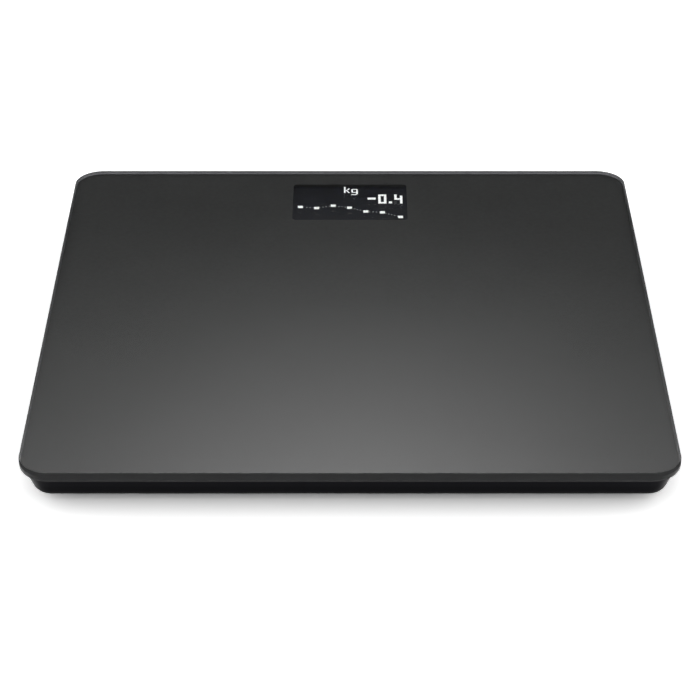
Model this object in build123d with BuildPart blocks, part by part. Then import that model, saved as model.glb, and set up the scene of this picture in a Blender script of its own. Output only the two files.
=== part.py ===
from build123d import *
from math import cos, radians, sin, tan
import os

# A square digital bathroom scale: a glass platform bonded to a shallow moulded tray.
# Millimetres, +Z up, origin on the floor under the middle, +Y towards the display.

os.makedirs("parts", exist_ok=True)

# Platform
PLATE_SIZE = 327.0
PLATE_CORNER = 16.0
PLATE_THICKNESS = 5.0
PLATE_ARRIS = 0.6
SCALE_HEIGHT = 23.0
FILM_THICKNESS = 0.2
FILM_INSET = 0.6
BOND_THICKNESS = 0.6
BOND_INSET = 2.9
BOND_WIDTH = 1.4
BOND_CHAMFER = 7.0

# General clearance between moulded pieces
FIT_GAP = 0.2

# Levels from the floor up
PLATE_BOTTOM = SCALE_HEIGHT - PLATE_THICKNESS
FILM_BOTTOM = PLATE_BOTTOM - FILM_THICKNESS
TRAY_TOP = FILM_BOTTOM - BOND_THICKNESS
TRAY_BOTTOM = 4.0
FLOOR_THICKNESS = 2.5
FLOOR_TOP = TRAY_BOTTOM + FLOOR_THICKNESS

# Tray form: set in under the platform, a leaning wall and a round knee to the flat underside
TRAY_INSET = 2.5
TRAY_WALL = 2.2
KNEE_RADIUS = 7.0
LEAN_ANGLE = 22.0
RIB_THICKNESS = 1.4
RIB_TOP = 15.0
RIB_PITCH = 44.0

# Display
WINDOW_WIDTH = 67.2
WINDOW_LENGTH = 44.9
WINDOW_CORNER = 2.5
WINDOW_Y = 126.6
GASKET_THICKNESS = 1.4
PANEL_THICKNESS = 2.0
PANEL_BORDER = 2.4
PANEL_TOP = FILM_BOTTOM - GASKET_THICKNESS
PANEL_BOTTOM = PANEL_TOP - PANEL_THICKNESS
BRACKET_FLOOR = 1.4
BRACKET_WALL = 1.8
BRACKET_BOTTOM = PANEL_BOTTOM - BRACKET_FLOOR
BRACKET_BAR = 6.0
FLEX_WIDTH = 20.0
FLEX_THICKNESS = 0.2
FLEX_FOLD = 1.0
FLEX_SOCKET_HEIGHT = 1.0
FLEX_SOCKET_LENGTH = 3.0

# Main board, stacked under the display bracket on four bosses
BOARD_BOTTOM = 9.6
BOARD_THICKNESS = 1.2
BOARD_TOP = BOARD_BOTTOM + BOARD_THICKNESS
BOARD_LEFT = -62.0
BOARD_RIGHT = 50.0
BOARD_FRONT = 101.0
BOARD_REAR = 149.0
BOARD_SCREWS = [(x, y) for x in (-43.0, 43.0) for y in (106.0, 146.0)]
SOCKET_WIDTH = 6.0
SOCKET_LENGTH = 8.0
SOCKET_BOTTOM = 6.9
SOCKET_X = 47.0
SOCKET_Y = (115.0, 126.0)
MODULE_WIDTH = 15.0
MODULE_LENGTH = 24.0
MODULE_BOARD = 0.8
SHIELD_HEIGHT = 1.8
CHIP_HEIGHT = 1.0

# Board screws, drawn with eight sides; their threads are left off
SCREW_SIDES = 8
SCREW_RADIUS = 1.3
SCREW_HOLE_RADIUS = 1.35
SCREW_HEAD_RADIUS = 2.6
SCREW_HEAD_HEIGHT = 1.5
SCREW_DEPTH = 2.8
BOSS_RADIUS = 3.4

# Feet and load cells, one set in each corner
FOOT_OFFSET = 123.0
PAD_RADIUS = 18.0
PAD_HEIGHT = 2.6
CAP_RADIUS = 19.4
CAP_TOP = 8.0
TAB_BOTTOM = 6.8
TAB_REACH = 21.2
TAB_WIDTH = 9.0
FOOT_OPENING_RADIUS = 19.9
FOOT_LIP_RADIUS = 22.2
FOOT_LIP_HEIGHT = 0.6
PUSHER_SIZE = 7.0
CELL_SIZE = 34.0
CELL_CORNER = 4.0
CELL_BOTTOM = 9.0
CELL_THICKNESS = 1.6
CELL_TOP = CELL_BOTTOM + CELL_THICKNESS
CELL_SLOT = 1.6
TONGUE_SLOT_X = 6.5
BEAM_SLOT_X = 10.5
SLOT_TIP = -8.0
SLOT_ROOT = 7.0
BEAM_SLOT_END = 11.0
GAUGE_THICKNESS = 0.5
GAUGE_WIDTH = 8.0
GAUGE_LENGTH = 6.0
GAUGE_Y = 3.0
CARRIER_SIZE = 44.0
CARRIER_CORNER = 5.0
CARRIER_BOTTOM = 8.8
CARRIER_PLATE = 1.6

# Flat leads
LEAD_HEIGHT = 1.0
LEAD_WIDTH = 3.6
LEAD_BOTTOM = FLOOR_TOP + 0.1
LEAD_OFFSET = 10.0
LEAD_EXIT_Z = 9.3
LEAD_AISLE_X = 70.0
CHANNEL_WIDTH = LEAD_WIDTH + 1.4
CHANNEL_HEIGHT = 2 * LEAD_HEIGHT

# Battery bay for four AAA cells side by side
BATTERY_RADIUS = 5.25
BATTERY_LENGTH = 44.5
BATTERY_PITCH = 11.1
BATTERY_BOTTOM = 5.9
BAY_Y = 44.0
BAY_WIDTH = 45.4
BAY_LENGTH = 49.0
BAY_CEILING = 16.6
BAY_WALL = 1.5
BAY_TOP = 17.6
SADDLE_DEPTH = 1.6
SADDLE_THICKNESS = 1.0
SADDLE_LENGTH = 6.0
CONTACT_THICKNESS = 0.4
CONTACT_SIZE = 8.6
LEAF_REACH = 3.9
LEAF_WIDTH = 5.0
LEAF_FOOT = 3.6
LEAF_CREST = 0.8

# Battery door, hinged along its rear edge
DOOR_WIDTH = 48.8
DOOR_THICKNESS = 1.6
DOOR_FRONT_Y = 16.4
HINGE_Y = 70.6
HINGE_Z = TRAY_BOTTOM + DOOR_THICKNESS / 2
HINGE_PIN_LENGTH = 1.2
HINGE_CLEARANCE = 0.1
LATCH_WIDTH = 10.0
LATCH_SLIT = 0.8
LATCH_LENGTH = 9.5
HOOK_THICKNESS = 1.0
NOTCH_WIDTH = 18.0
NOTCH_LENGTH = 8.0

# Pairing button in the underside
BUTTON_X = 30.0
BUTTON_Y = 120.0
BUTTON_RADIUS = 4.4
BUTTON_FLANGE = 5.6
BUTTON_BOTTOM = 4.6
RECESS_WIDTH = 20.0
RECESS_LENGTH = 13.0
RECESS_DEPTH = 0.5
BUTTON_FLANGE_TOP = 7.3
SWITCH_SIZE = 5.2
SWITCH_BOTTOM = 8.1
PLUNGER_SIZE = 2.6
PLUNGER_TOP = 8.5
PLUNGER_GAP = 0.1
BUTTON_TRAVEL = 0.3

CORNERS = {
    "front_left": (-1, -1),
    "front_right": (1, -1),
    "rear_left": (-1, 1),
    "rear_right": (1, 1),
}


def level(z, x=0.0, y=0.0):
    """A horizontal sketch plane at height z, centred on x, y."""
    return Plane(origin=(x, y, z))


def save(piece, name):
    """Labels a finished piece and writes its STEP file."""
    piece.part.label = name
    export_step(piece.part, f"parts/{name}.step")


def lead(points, width, bottom, height):
    """A flat lead that lies level along points, with a mitred bend at each corner."""
    with BuildPart() as run:
        with BuildSketch(level(bottom)):
            with BuildLine() as route:
                Polyline(*points)
            trace(route.line, line_width=width)
        extrude(amount=height)
    return run.part


# ---------------------------------------------------------------- glass platform

with BuildPart() as glass_plate:
    with BuildSketch(level(PLATE_BOTTOM)):
        RectangleRounded(PLATE_SIZE, PLATE_SIZE, PLATE_CORNER)
    extrude(amount=PLATE_THICKNESS)
    rims = glass_plate.faces().filter_by(Axis.Z).edges()
    chamfer(rims, length=PLATE_ARRIS)
save(glass_plate, "glass_plate")

with BuildPart() as backing_film:
    with BuildSketch(level(FILM_BOTTOM)):
        film_size = PLATE_SIZE - 2 * FILM_INSET
        RectangleRounded(film_size, film_size, PLATE_CORNER - FILM_INSET)
        with Locations((0, WINDOW_Y)):
            RectangleRounded(WINDOW_WIDTH, WINDOW_LENGTH, WINDOW_CORNER, mode=Mode.SUBTRACT)
    extrude(amount=FILM_THICKNESS)
save(backing_film, "backing_film")

with BuildPart() as bonding_tape:
    with BuildSketch(level(TRAY_TOP)):
        outer = PLATE_SIZE - 2 * BOND_INSET
        inner = outer - 2 * BOND_WIDTH
        RectangleRounded(outer, outer, PLATE_CORNER - BOND_INSET)
        with BuildSketch(mode=Mode.PRIVATE) as opening:
            Rectangle(inner, inner)
            chamfer(opening.vertices(), length=BOND_CHAMFER)
        add(opening.sketch, mode=Mode.SUBTRACT)
        # square pads over the load cell carriers
        with GridLocations(2 * FOOT_OFFSET, 2 * FOOT_OFFSET, 2, 2):
            Rectangle(CARRIER_SIZE - CARRIER_CORNER, CARRIER_SIZE - CARRIER_CORNER)
    extrude(amount=BOND_THICKNESS)
save(bonding_tape, "bonding_tape")

# ---------------------------------------------------------------- display

PANEL_WIDTH = WINDOW_WIDTH + 2 * PANEL_BORDER
PANEL_LENGTH = WINDOW_LENGTH + 2 * PANEL_BORDER

with BuildPart() as display_gasket:
    with BuildSketch(level(PANEL_TOP, y=WINDOW_Y)):
        Rectangle(PANEL_WIDTH, PANEL_LENGTH)
        Rectangle(WINDOW_WIDTH, WINDOW_LENGTH, mode=Mode.SUBTRACT)
    extrude(amount=GASKET_THICKNESS)
save(display_gasket, "display_gasket")

with BuildPart() as display_panel:
    with BuildSketch(level(PANEL_BOTTOM, y=WINDOW_Y)):
        Rectangle(PANEL_WIDTH, PANEL_LENGTH)
    extrude(amount=PANEL_THICKNESS)
    chamfer(display_panel.edges().filter_by(Axis.Z), length=0.4)
save(display_panel, "display_panel")

with BuildPart() as display_bracket:
    bracket_width = PANEL_WIDTH + 2 * (BRACKET_WALL + FIT_GAP)
    bracket_length = PANEL_LENGTH + 2 * (BRACKET_WALL + FIT_GAP)
    with BuildSketch(level(BRACKET_BOTTOM, y=WINDOW_Y)):
        Rectangle(bracket_width, bracket_length)
    extrude(amount=PANEL_TOP - BRACKET_BOTTOM)
    # the tray that the panel drops into
    with BuildSketch(level(PANEL_BOTTOM, y=WINDOW_Y)):
        Rectangle(PANEL_WIDTH + 2 * FIT_GAP, PANEL_LENGTH + 2 * FIT_GAP)
    extrude(amount=PANEL_THICKNESS, mode=Mode.SUBTRACT)
    # lightening windows under the panel
    with BuildSketch(level(BRACKET_BOTTOM, y=WINDOW_Y)):
        with GridLocations(PANEL_WIDTH / 3, PANEL_LENGTH / 2, 3, 2):
            window_x = PANEL_WIDTH / 3 - BRACKET_BAR
            window_y = PANEL_LENGTH / 2 - BRACKET_BAR
            Rectangle(window_x, window_y)
    extrude(amount=BRACKET_FLOOR, mode=Mode.SUBTRACT)
    # notch where the flex folds round the front edge
    with BuildSketch(level(BRACKET_BOTTOM, y=WINDOW_Y - bracket_length / 2)):
        Rectangle(FLEX_WIDTH + 2 * BRACKET_WALL, 4 * BRACKET_WALL)
    extrude(amount=PANEL_TOP - BRACKET_BOTTOM, mode=Mode.SUBTRACT)
    # ears and their spacers down to the board
    with BuildSketch(level(BRACKET_BOTTOM)):
        for x, y in BOARD_SCREWS:
            inner_x = bracket_width / 2 - BRACKET_WALL / 2
            outer_x = abs(x) + BOSS_RADIUS
            with Locations(((inner_x + outer_x) / 2 * (1 if x > 0 else -1), y)):
                Rectangle(outer_x - inner_x, 2 * BOSS_RADIUS)
    extrude(amount=BRACKET_FLOOR)
    with BuildSketch(level(BOARD_TOP)):
        with Locations(*BOARD_SCREWS):
            Rectangle(2 * BOSS_RADIUS, 2 * BOSS_RADIUS)
    extrude(amount=BRACKET_BOTTOM - BOARD_TOP)
    with BuildSketch(level(BOARD_TOP)):
        with Locations(*BOARD_SCREWS):
            RegularPolygon(SCREW_HOLE_RADIUS, SCREW_SIDES)
    extrude(amount=PANEL_BOTTOM - BOARD_TOP, mode=Mode.SUBTRACT)
save(display_bracket, "display_bracket")

FLEX_START_Y = WINDOW_Y - PANEL_LENGTH / 2
FLEX_TOP_Z = PANEL_BOTTOM + PANEL_THICKNESS / 2
FLEX_LOW_Z = BOARD_TOP + FLEX_SOCKET_HEIGHT / 2
FLEX_SOCKET_Y = FLEX_START_Y + 4 * FLEX_FOLD

with BuildPart() as display_flex:
    with BuildSketch(Plane.YZ.offset(-FLEX_WIDTH / 2)):
        with BuildLine() as fold:
            bend_y = FLEX_START_Y - FLEX_FOLD
            bend = (FLEX_TOP_Z - FLEX_LOW_Z) / 2
            Polyline(
                (FLEX_START_Y, FLEX_TOP_Z),
                (bend_y, FLEX_TOP_Z),
                (bend_y - bend, FLEX_TOP_Z - bend / 2),
                (bend_y - bend, FLEX_LOW_Z + bend / 2),
                (bend_y, FLEX_LOW_Z),
                (FLEX_SOCKET_Y, FLEX_LOW_Z),
            )
        trace(fold.line, line_width=FLEX_THICKNESS)
    extrude(amount=FLEX_WIDTH)
save(display_flex, "display_flex")

# ---------------------------------------------------------------- main board

with BuildPart() as main_board:
    board_width = BOARD_RIGHT - BOARD_LEFT
    board_length = BOARD_REAR - BOARD_FRONT
    board_x = (BOARD_LEFT + BOARD_RIGHT) / 2
    board_y = (BOARD_FRONT + BOARD_REAR) / 2
    with BuildSketch(level(BOARD_BOTTOM)):
        with Locations((board_x, board_y)):
            Rectangle(board_width, board_length)
        with Locations(*BOARD_SCREWS):
            RegularPolygon(SCREW_HOLE_RADIUS, SCREW_SIDES, mode=Mode.SUBTRACT)
    extrude(amount=BOARD_THICKNESS)
save(main_board, "main_board")

with BuildPart() as wifi_module:
    module_x = BOARD_LEFT + MODULE_WIDTH / 2 + 0.5
    with BuildSketch(level(BOARD_TOP, module_x, board_y)):
        Rectangle(MODULE_WIDTH, MODULE_LENGTH)
    extrude(amount=MODULE_BOARD)
    # the shield leaves the rear third free for the aerial
    with BuildSketch(level(BOARD_TOP + MODULE_BOARD, module_x, board_y - MODULE_LENGTH / 8)):
        Rectangle(MODULE_WIDTH - 2, MODULE_LENGTH * 2 / 3)
    extrude(amount=SHIELD_HEIGHT)
save(wifi_module, "wifi_module")

for name, x, y, size in (
    ("controller_chip", -14.0, 118.0, 10.0),
    ("converter_chip", 14.0, 132.0, 7.0),
):
    with BuildPart() as chip:
        with BuildSketch(level(BOARD_TOP, x, y)):
            Rectangle(size, size)
        extrude(amount=CHIP_HEIGHT)
        chamfer(chip.faces().sort_by(Axis.Z)[-1].edges(), length=0.2)
    save(chip, name)

with BuildPart() as harness_sockets:
    with BuildSketch(level(SOCKET_BOTTOM)):
        for x in (-SOCKET_X, SOCKET_X):
            for y in SOCKET_Y:
                with Locations((x, y)):
                    Rectangle(SOCKET_WIDTH, SOCKET_LENGTH)
        with Locations((0, BOARD_FRONT + SOCKET_WIDTH / 2)):
            Rectangle(SOCKET_LENGTH, SOCKET_WIDTH)
    extrude(amount=BOARD_BOTTOM - SOCKET_BOTTOM)
save(harness_sockets, "harness_sockets")

with BuildPart() as flex_socket:
    with BuildSketch(level(BOARD_TOP, y=FLEX_SOCKET_Y + FLEX_SOCKET_LENGTH / 2)):
        Rectangle(FLEX_WIDTH + FLEX_SOCKET_LENGTH, FLEX_SOCKET_LENGTH)
    extrude(amount=FLEX_SOCKET_HEIGHT)
save(flex_socket, "flex_socket")

with BuildPart() as board_screws:
    with BuildSketch(level(PANEL_BOTTOM)):
        with Locations(*BOARD_SCREWS):
            RegularPolygon(SCREW_HEAD_RADIUS, SCREW_SIDES)
    extrude(amount=SCREW_HEAD_HEIGHT)
    with BuildSketch(level(BOARD_BOTTOM - SCREW_DEPTH)):
        with Locations(*BOARD_SCREWS):
            RegularPolygon(SCREW_RADIUS, SCREW_SIDES)
    extrude(amount=PANEL_BOTTOM - BOARD_BOTTOM + SCREW_DEPTH)
save(board_screws, "board_screws")

# ---------------------------------------------------------------- pairing button

with BuildPart() as pairing_button:
    with BuildSketch(level(BUTTON_BOTTOM, BUTTON_X, BUTTON_Y)):
        Circle(BUTTON_RADIUS)
    extrude(amount=BUTTON_FLANGE_TOP - BUTTON_BOTTOM)
    # the bar that keeps the key from falling out
    with BuildSketch(level(FLOOR_TOP, BUTTON_X, BUTTON_Y)):
        Rectangle(2 * BUTTON_FLANGE, BUTTON_RADIUS)
    extrude(amount=BUTTON_FLANGE_TOP - FLOOR_TOP)
save(pairing_button, "pairing_button")

with BuildPart() as switch_plunger:
    with BuildSketch(level(BUTTON_FLANGE_TOP, BUTTON_X, BUTTON_Y)):
        Rectangle(PLUNGER_SIZE, PLUNGER_SIZE)
    extrude(amount=PLUNGER_TOP - BUTTON_FLANGE_TOP)
save(switch_plunger, "switch_plunger")

with BuildPart() as switch_body:
    with BuildSketch(level(SWITCH_BOTTOM, BUTTON_X, BUTTON_Y)):
        Rectangle(SWITCH_SIZE, SWITCH_SIZE)
    extrude(amount=BOARD_BOTTOM - SWITCH_BOTTOM)
    chamfer(switch_body.edges().filter_by(Axis.Z), length=0.5)
    with BuildSketch(level(SWITCH_BOTTOM, BUTTON_X, BUTTON_Y)):
        Rectangle(PLUNGER_SIZE + 2 * PLUNGER_GAP, PLUNGER_SIZE + 2 * PLUNGER_GAP)
    extrude(amount=PLUNGER_TOP - SWITCH_BOTTOM + BUTTON_TRAVEL + PLUNGER_GAP, mode=Mode.SUBTRACT)
save(switch_body, "switch_body")

# ---------------------------------------------------------------- corner sets


def foot_pad(x, y):
    """Rubber pad that stands on the floor."""
    with BuildPart() as pad:
        with BuildSketch(level(0, x, y)):
            Circle(PAD_RADIUS)
        extrude(amount=PAD_HEIGHT)
    return pad


def foot_cap(x, y):
    """Moulded disc that carries the pad and pushes the load cell's tongue."""
    with BuildPart() as cap:
        with BuildSketch(level(PAD_HEIGHT, x, y)):
            Circle(CAP_RADIUS)
        extrude(amount=CAP_TOP - PAD_HEIGHT)
        # four tabs that keep the foot from falling out of the tray
        with BuildSketch(level(TAB_BOTTOM, x, y)):
            Rectangle(2 * TAB_REACH, TAB_WIDTH)
            Rectangle(TAB_WIDTH, 2 * TAB_REACH)
        extrude(amount=CAP_TOP - TAB_BOTTOM)
        # pusher under the tongue
        with BuildSketch(level(CAP_TOP, x, y)):
            Rectangle(PUSHER_SIZE, PUSHER_SIZE)
        extrude(amount=CELL_BOTTOM - CAP_TOP)
    return cap


def load_cell(x, y):
    """Stamped steel plate: two slots leave a sprung tongue inside a square frame."""
    # the inner slot runs round the tongue's tip, the outer one round its root
    slots = (
        (TONGUE_SLOT_X, SLOT_ROOT, SLOT_TIP),
        (BEAM_SLOT_X, SLOT_TIP, BEAM_SLOT_END),
    )
    with BuildPart() as cell:
        with BuildSketch(level(CELL_BOTTOM, x, y)) as blank:
            Rectangle(CELL_SIZE, CELL_SIZE)
            chamfer(blank.vertices(), length=CELL_CORNER)
            for half_width, open_y, closed_y in slots:
                with Locations((-half_width, (open_y + closed_y) / 2)):
                    Rectangle(CELL_SLOT, abs(open_y - closed_y) + CELL_SLOT, mode=Mode.SUBTRACT)
                with Locations((half_width, (open_y + closed_y) / 2)):
                    Rectangle(CELL_SLOT, abs(open_y - closed_y) + CELL_SLOT, mode=Mode.SUBTRACT)
                with Locations((0, closed_y)):
                    Rectangle(2 * half_width, CELL_SLOT, mode=Mode.SUBTRACT)
        extrude(amount=CELL_THICKNESS)
    return cell


def strain_gauge(x, y):
    """Resin-covered gauge on top of the tongue."""
    with BuildPart() as gauge:
        with BuildSketch(level(CELL_TOP, x, y + GAUGE_Y)):
            Rectangle(GAUGE_WIDTH, GAUGE_LENGTH)
        extrude(amount=GAUGE_THICKNESS)
    return gauge


def cell_carrier(x, y, side, end):
    """Moulded block, bonded under the platform, that seats the load cell's frame."""
    pocket = CELL_SIZE + FIT_GAP
    hollow = CELL_SIZE - 8.0
    plate_bottom = TRAY_TOP - CARRIER_PLATE
    rib_bottom = CELL_TOP + 2.0
    with BuildPart() as carrier:
        with BuildSketch(level(CARRIER_BOTTOM, x, y)) as outline:
            Rectangle(CARRIER_SIZE, CARRIER_SIZE)
            chamfer(outline.vertices(), length=CARRIER_CORNER)
        extrude(amount=TRAY_TOP - CARRIER_BOTTOM)
        with BuildSketch(level(CARRIER_BOTTOM, x, y)) as seat:
            Rectangle(pocket, pocket)
            chamfer(seat.vertices(), length=CELL_CORNER)
        extrude(amount=CELL_TOP - CARRIER_BOTTOM, mode=Mode.SUBTRACT)
        with BuildSketch(level(CELL_TOP, x, y)):
            Rectangle(hollow, hollow)
        extrude(amount=plate_bottom - CELL_TOP, mode=Mode.SUBTRACT)
        # cross ribs under the top plate
        with BuildSketch(level(rib_bottom, x, y)):
            Rectangle(hollow, RIB_THICKNESS)
            Rectangle(RIB_THICKNESS, hollow)
        extrude(amount=plate_bottom - rib_bottom)
        # notch where the lead leaves
        with BuildSketch(level(CARRIER_BOTTOM, x, y)):
            with Locations((-side * CARRIER_SIZE / 2, -end * LEAD_OFFSET)):
                Rectangle(CARRIER_SIZE - pocket + 2, LEAD_WIDTH + 1.0)
        extrude(amount=CELL_TOP - CARRIER_BOTTOM, mode=Mode.SUBTRACT)
    return carrier


def harness(x, y, side, end):
    """Flat three-wire lead from a load cell, down to the floor and to the board."""
    start_x = x - side * CELL_SIZE / 2
    drop_x = x - side * (CARRIER_SIZE / 2 + 3)
    lead_y = y - end * LEAD_OFFSET
    socket_x = side * (SOCKET_X + SOCKET_WIDTH / 2)
    if end < 0:
        aisle_x = side * LEAD_AISLE_X
        points = [
            (drop_x, lead_y),
            (aisle_x, lead_y),
            (aisle_x, SOCKET_Y[0]),
            (socket_x, SOCKET_Y[0]),
        ]
    else:
        points = [
            (drop_x, lead_y),
            (side * (LEAD_AISLE_X + 12), lead_y),
            (side * (LEAD_AISLE_X - 4), SOCKET_Y[1]),
            (socket_x, SOCKET_Y[1]),
        ]
    with BuildPart() as wires:
        add(lead(points, LEAD_WIDTH, LEAD_BOTTOM, LEAD_HEIGHT))
        with BuildSketch(level(LEAD_EXIT_Z)):
            with Locations(((start_x + drop_x) / 2, lead_y)):
                Rectangle(abs(drop_x - start_x), LEAD_WIDTH)
        extrude(amount=LEAD_HEIGHT)
        with BuildSketch(level(LEAD_BOTTOM)):
            with Locations((drop_x + side * LEAD_HEIGHT / 2, lead_y)):
                Rectangle(LEAD_HEIGHT, LEAD_WIDTH)
        extrude(amount=LEAD_EXIT_Z + LEAD_HEIGHT - LEAD_BOTTOM)
    return wires, points


lead_routes = []
for corner, (side, end) in CORNERS.items():
    foot_x = side * FOOT_OFFSET
    foot_y = end * FOOT_OFFSET
    save(foot_pad(foot_x, foot_y), f"foot_pad_{corner}")
    save(foot_cap(foot_x, foot_y), f"foot_cap_{corner}")
    save(load_cell(foot_x, foot_y), f"load_cell_{corner}")
    save(strain_gauge(foot_x, foot_y), f"strain_gauge_{corner}")
    save(cell_carrier(foot_x, foot_y, side, end), f"cell_carrier_{corner}")
    wires, points = harness(foot_x, foot_y, side, end)
    save(wires, f"cell_harness_{corner}")
    lead_routes.append(points)

# ---------------------------------------------------------------- battery bay

BAY_FRONT = BAY_Y - BAY_LENGTH / 2
BAY_REAR = BAY_Y + BAY_LENGTH / 2
BATTERY_Z = BATTERY_BOTTOM + BATTERY_RADIUS
BATTERY_X = [(i - 1.5) * BATTERY_PITCH for i in range(4)]

for index, x in enumerate(BATTERY_X):
    # the cells lie head to tail: every second one has its plus end at the front
    plus_at_rear = index % 2 == 0
    plus_y = BAY_REAR - CONTACT_THICKNESS if plus_at_rear else BAY_FRONT + CONTACT_THICKNESS
    inwards = -1 if plus_at_rear else 1
    with BuildPart() as battery:
        with BuildSketch(Plane(origin=(x, plus_y, BATTERY_Z), z_dir=(0, inwards, 0))):
            Circle(BATTERY_RADIUS)
        extrude(amount=BATTERY_LENGTH)
    save(battery, f"battery_{index + 1}")


def contact(cells, at_rear):
    """Stamped contact on one end wall: a flat pad for a plus end, a bent leaf for a minus."""
    wall_y = BAY_REAR if at_rear else BAY_FRONT
    inwards = -1 if at_rear else 1
    xs = [BATTERY_X[i] for i in cells]
    width = max(xs) - min(xs) + CONTACT_SIZE
    mid_y = wall_y + inwards * CONTACT_THICKNESS / 2
    with BuildPart() as strip:
        with BuildSketch(level(BATTERY_Z - CONTACT_SIZE / 2)):
            with Locations((sum(xs) / len(xs), mid_y)):
                Rectangle(width, CONTACT_THICKNESS)
        extrude(amount=CONTACT_SIZE)
        for i in cells:
            plus_here = (i % 2 == 0) == at_rear
            if plus_here:
                continue
            with BuildSketch(Plane.YZ.offset(BATTERY_X[i] - LEAF_WIDTH / 2)):
                with BuildLine() as leaf:
                    crest_y = wall_y + inwards * (LEAF_REACH - CONTACT_THICKNESS)
                    Polyline(
                        (mid_y, BATTERY_Z - LEAF_FOOT),
                        (crest_y, BATTERY_Z - LEAF_CREST),
                        (crest_y, BATTERY_Z + LEAF_CREST),
                        (mid_y, BATTERY_Z + LEAF_FOOT),
                    )
                trace(leaf.line, line_width=CONTACT_THICKNESS)
            extrude(amount=LEAF_WIDTH)
    return strip


save(contact([0, 1], at_rear=False), "contact_bridge_left")
save(contact([2, 3], at_rear=False), "contact_bridge_right")
save(contact([1, 2], at_rear=True), "contact_bridge_middle")
save(contact([0], at_rear=True), "contact_positive")
save(contact([3], at_rear=True), "contact_negative")

battery_route = [(0, BAY_REAR + BAY_WALL), (0, BOARD_FRONT)]
lead_routes.append(battery_route)
with BuildPart() as battery_lead:
    add(lead(battery_route, LEAD_WIDTH, LEAD_BOTTOM, LEAD_HEIGHT))
save(battery_lead, "battery_lead")

with BuildPart() as battery_door:
    with BuildSketch(level(TRAY_BOTTOM)):
        with Locations((0, (DOOR_FRONT_Y + HINGE_Y) / 2)):
            Rectangle(DOOR_WIDTH, HINGE_Y - DOOR_FRONT_Y)
        # slits that free the latch tongue
        for slit_x in (-LATCH_WIDTH / 2 - LATCH_SLIT / 2, LATCH_WIDTH / 2 + LATCH_SLIT / 2):
            with Locations((slit_x, DOOR_FRONT_Y + LATCH_LENGTH / 2)):
                Rectangle(LATCH_SLIT, LATCH_LENGTH, mode=Mode.SUBTRACT)
    extrude(amount=DOOR_THICKNESS)
    # rounded hinge edge with a pin at each end
    hinge_start = Plane.YZ.offset(-DOOR_WIDTH / 2 - HINGE_PIN_LENGTH)
    with BuildSketch(hinge_start):
        with Locations((HINGE_Y, HINGE_Z)):
            Circle(DOOR_THICKNESS / 2)
    extrude(amount=DOOR_WIDTH + 2 * HINGE_PIN_LENGTH)
    # upright hook on the tongue
    with BuildSketch(Plane.YZ.offset(-LATCH_WIDTH / 2)):
        with BuildLine():
            foot_z = TRAY_BOTTOM + DOOR_THICKNESS - FIT_GAP
            front_y = DOOR_FRONT_Y + HOOK_THICKNESS / 2
            back_y = front_y + HOOK_THICKNESS
            Polyline(
                (front_y, foot_z),
                (front_y, FLOOR_TOP),
                (DOOR_FRONT_Y - FIT_GAP / 2, FLOOR_TOP + 0.1),
                (front_y, FLOOR_TOP + HOOK_THICKNESS),
                (back_y, FLOOR_TOP + HOOK_THICKNESS),
                (back_y, foot_z),
                close=True,
            )
        make_face()
    extrude(amount=LATCH_WIDTH)
save(battery_door, "battery_door")

# ---------------------------------------------------------------- base tray


def bowl_section(wall, inner_x):
    """Half of the tray's section as a face, from inner_x before a corner's centre outwards.

    wall is 0 for the outside, or the thickness of the wall outside the hollow.
    """
    lean = radians(LEAN_ANGLE)
    radius = KNEE_RADIUS - wall
    bottom = TRAY_BOTTOM if wall == 0 else FLOOR_TOP
    top = TRAY_TOP if wall == 0 else SCALE_HEIGHT
    # the outside and the hollow share the knee's centre
    knee_z = TRAY_BOTTOM + KNEE_RADIUS
    rim_x = PLATE_CORNER - TRAY_INSET - (TRAY_TOP - knee_z) * tan(lean)
    knee_x = rim_x - KNEE_RADIUS / cos(lean)
    wall_x = knee_x + radius * cos(lean)
    wall_z = knee_z - radius * sin(lean)
    top_x = wall_x + (top - wall_z) * tan(lean)
    with BuildSketch() as section:
        with BuildLine():
            Line((inner_x, bottom), (knee_x, bottom))
            if wall == 0:
                CenterArc((knee_x, knee_z), radius, -90, 90 - LEAN_ANGLE)
            else:
                Line((knee_x, bottom), (wall_x, wall_z))
            Line((wall_x, wall_z), (top_x, top))
            Line((top_x, top), (inner_x, top))
            Line((inner_x, top), (inner_x, bottom))
        make_face()
    return section.sketch


def tray_form(wall):
    """The tray's outer form for wall 0, or the hollow left by a wall of that thickness."""
    span = PLATE_SIZE / 2 - PLATE_CORNER
    with BuildPart() as form:
        for turn in range(4):
            outwards = Vector(1, 0, 0).rotate(Axis.Z, 90 * turn)
            along = Vector(0, 1, 0).rotate(Axis.Z, 90 * turn)
            corner = (outwards + along) * span
            upright = Plane(origin=corner, x_dir=outwards, z_dir=-along)
            # one straight side as far as the middle, then the corner it runs into
            with BuildSketch(upright):
                add(bowl_section(wall, -span))
            extrude(amount=2 * span)
            with BuildSketch(upright):
                add(bowl_section(wall, 0))
            revolve(axis=Axis(corner, (0, 0, 1)), revolution_arc=90)
    return form.part


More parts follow.
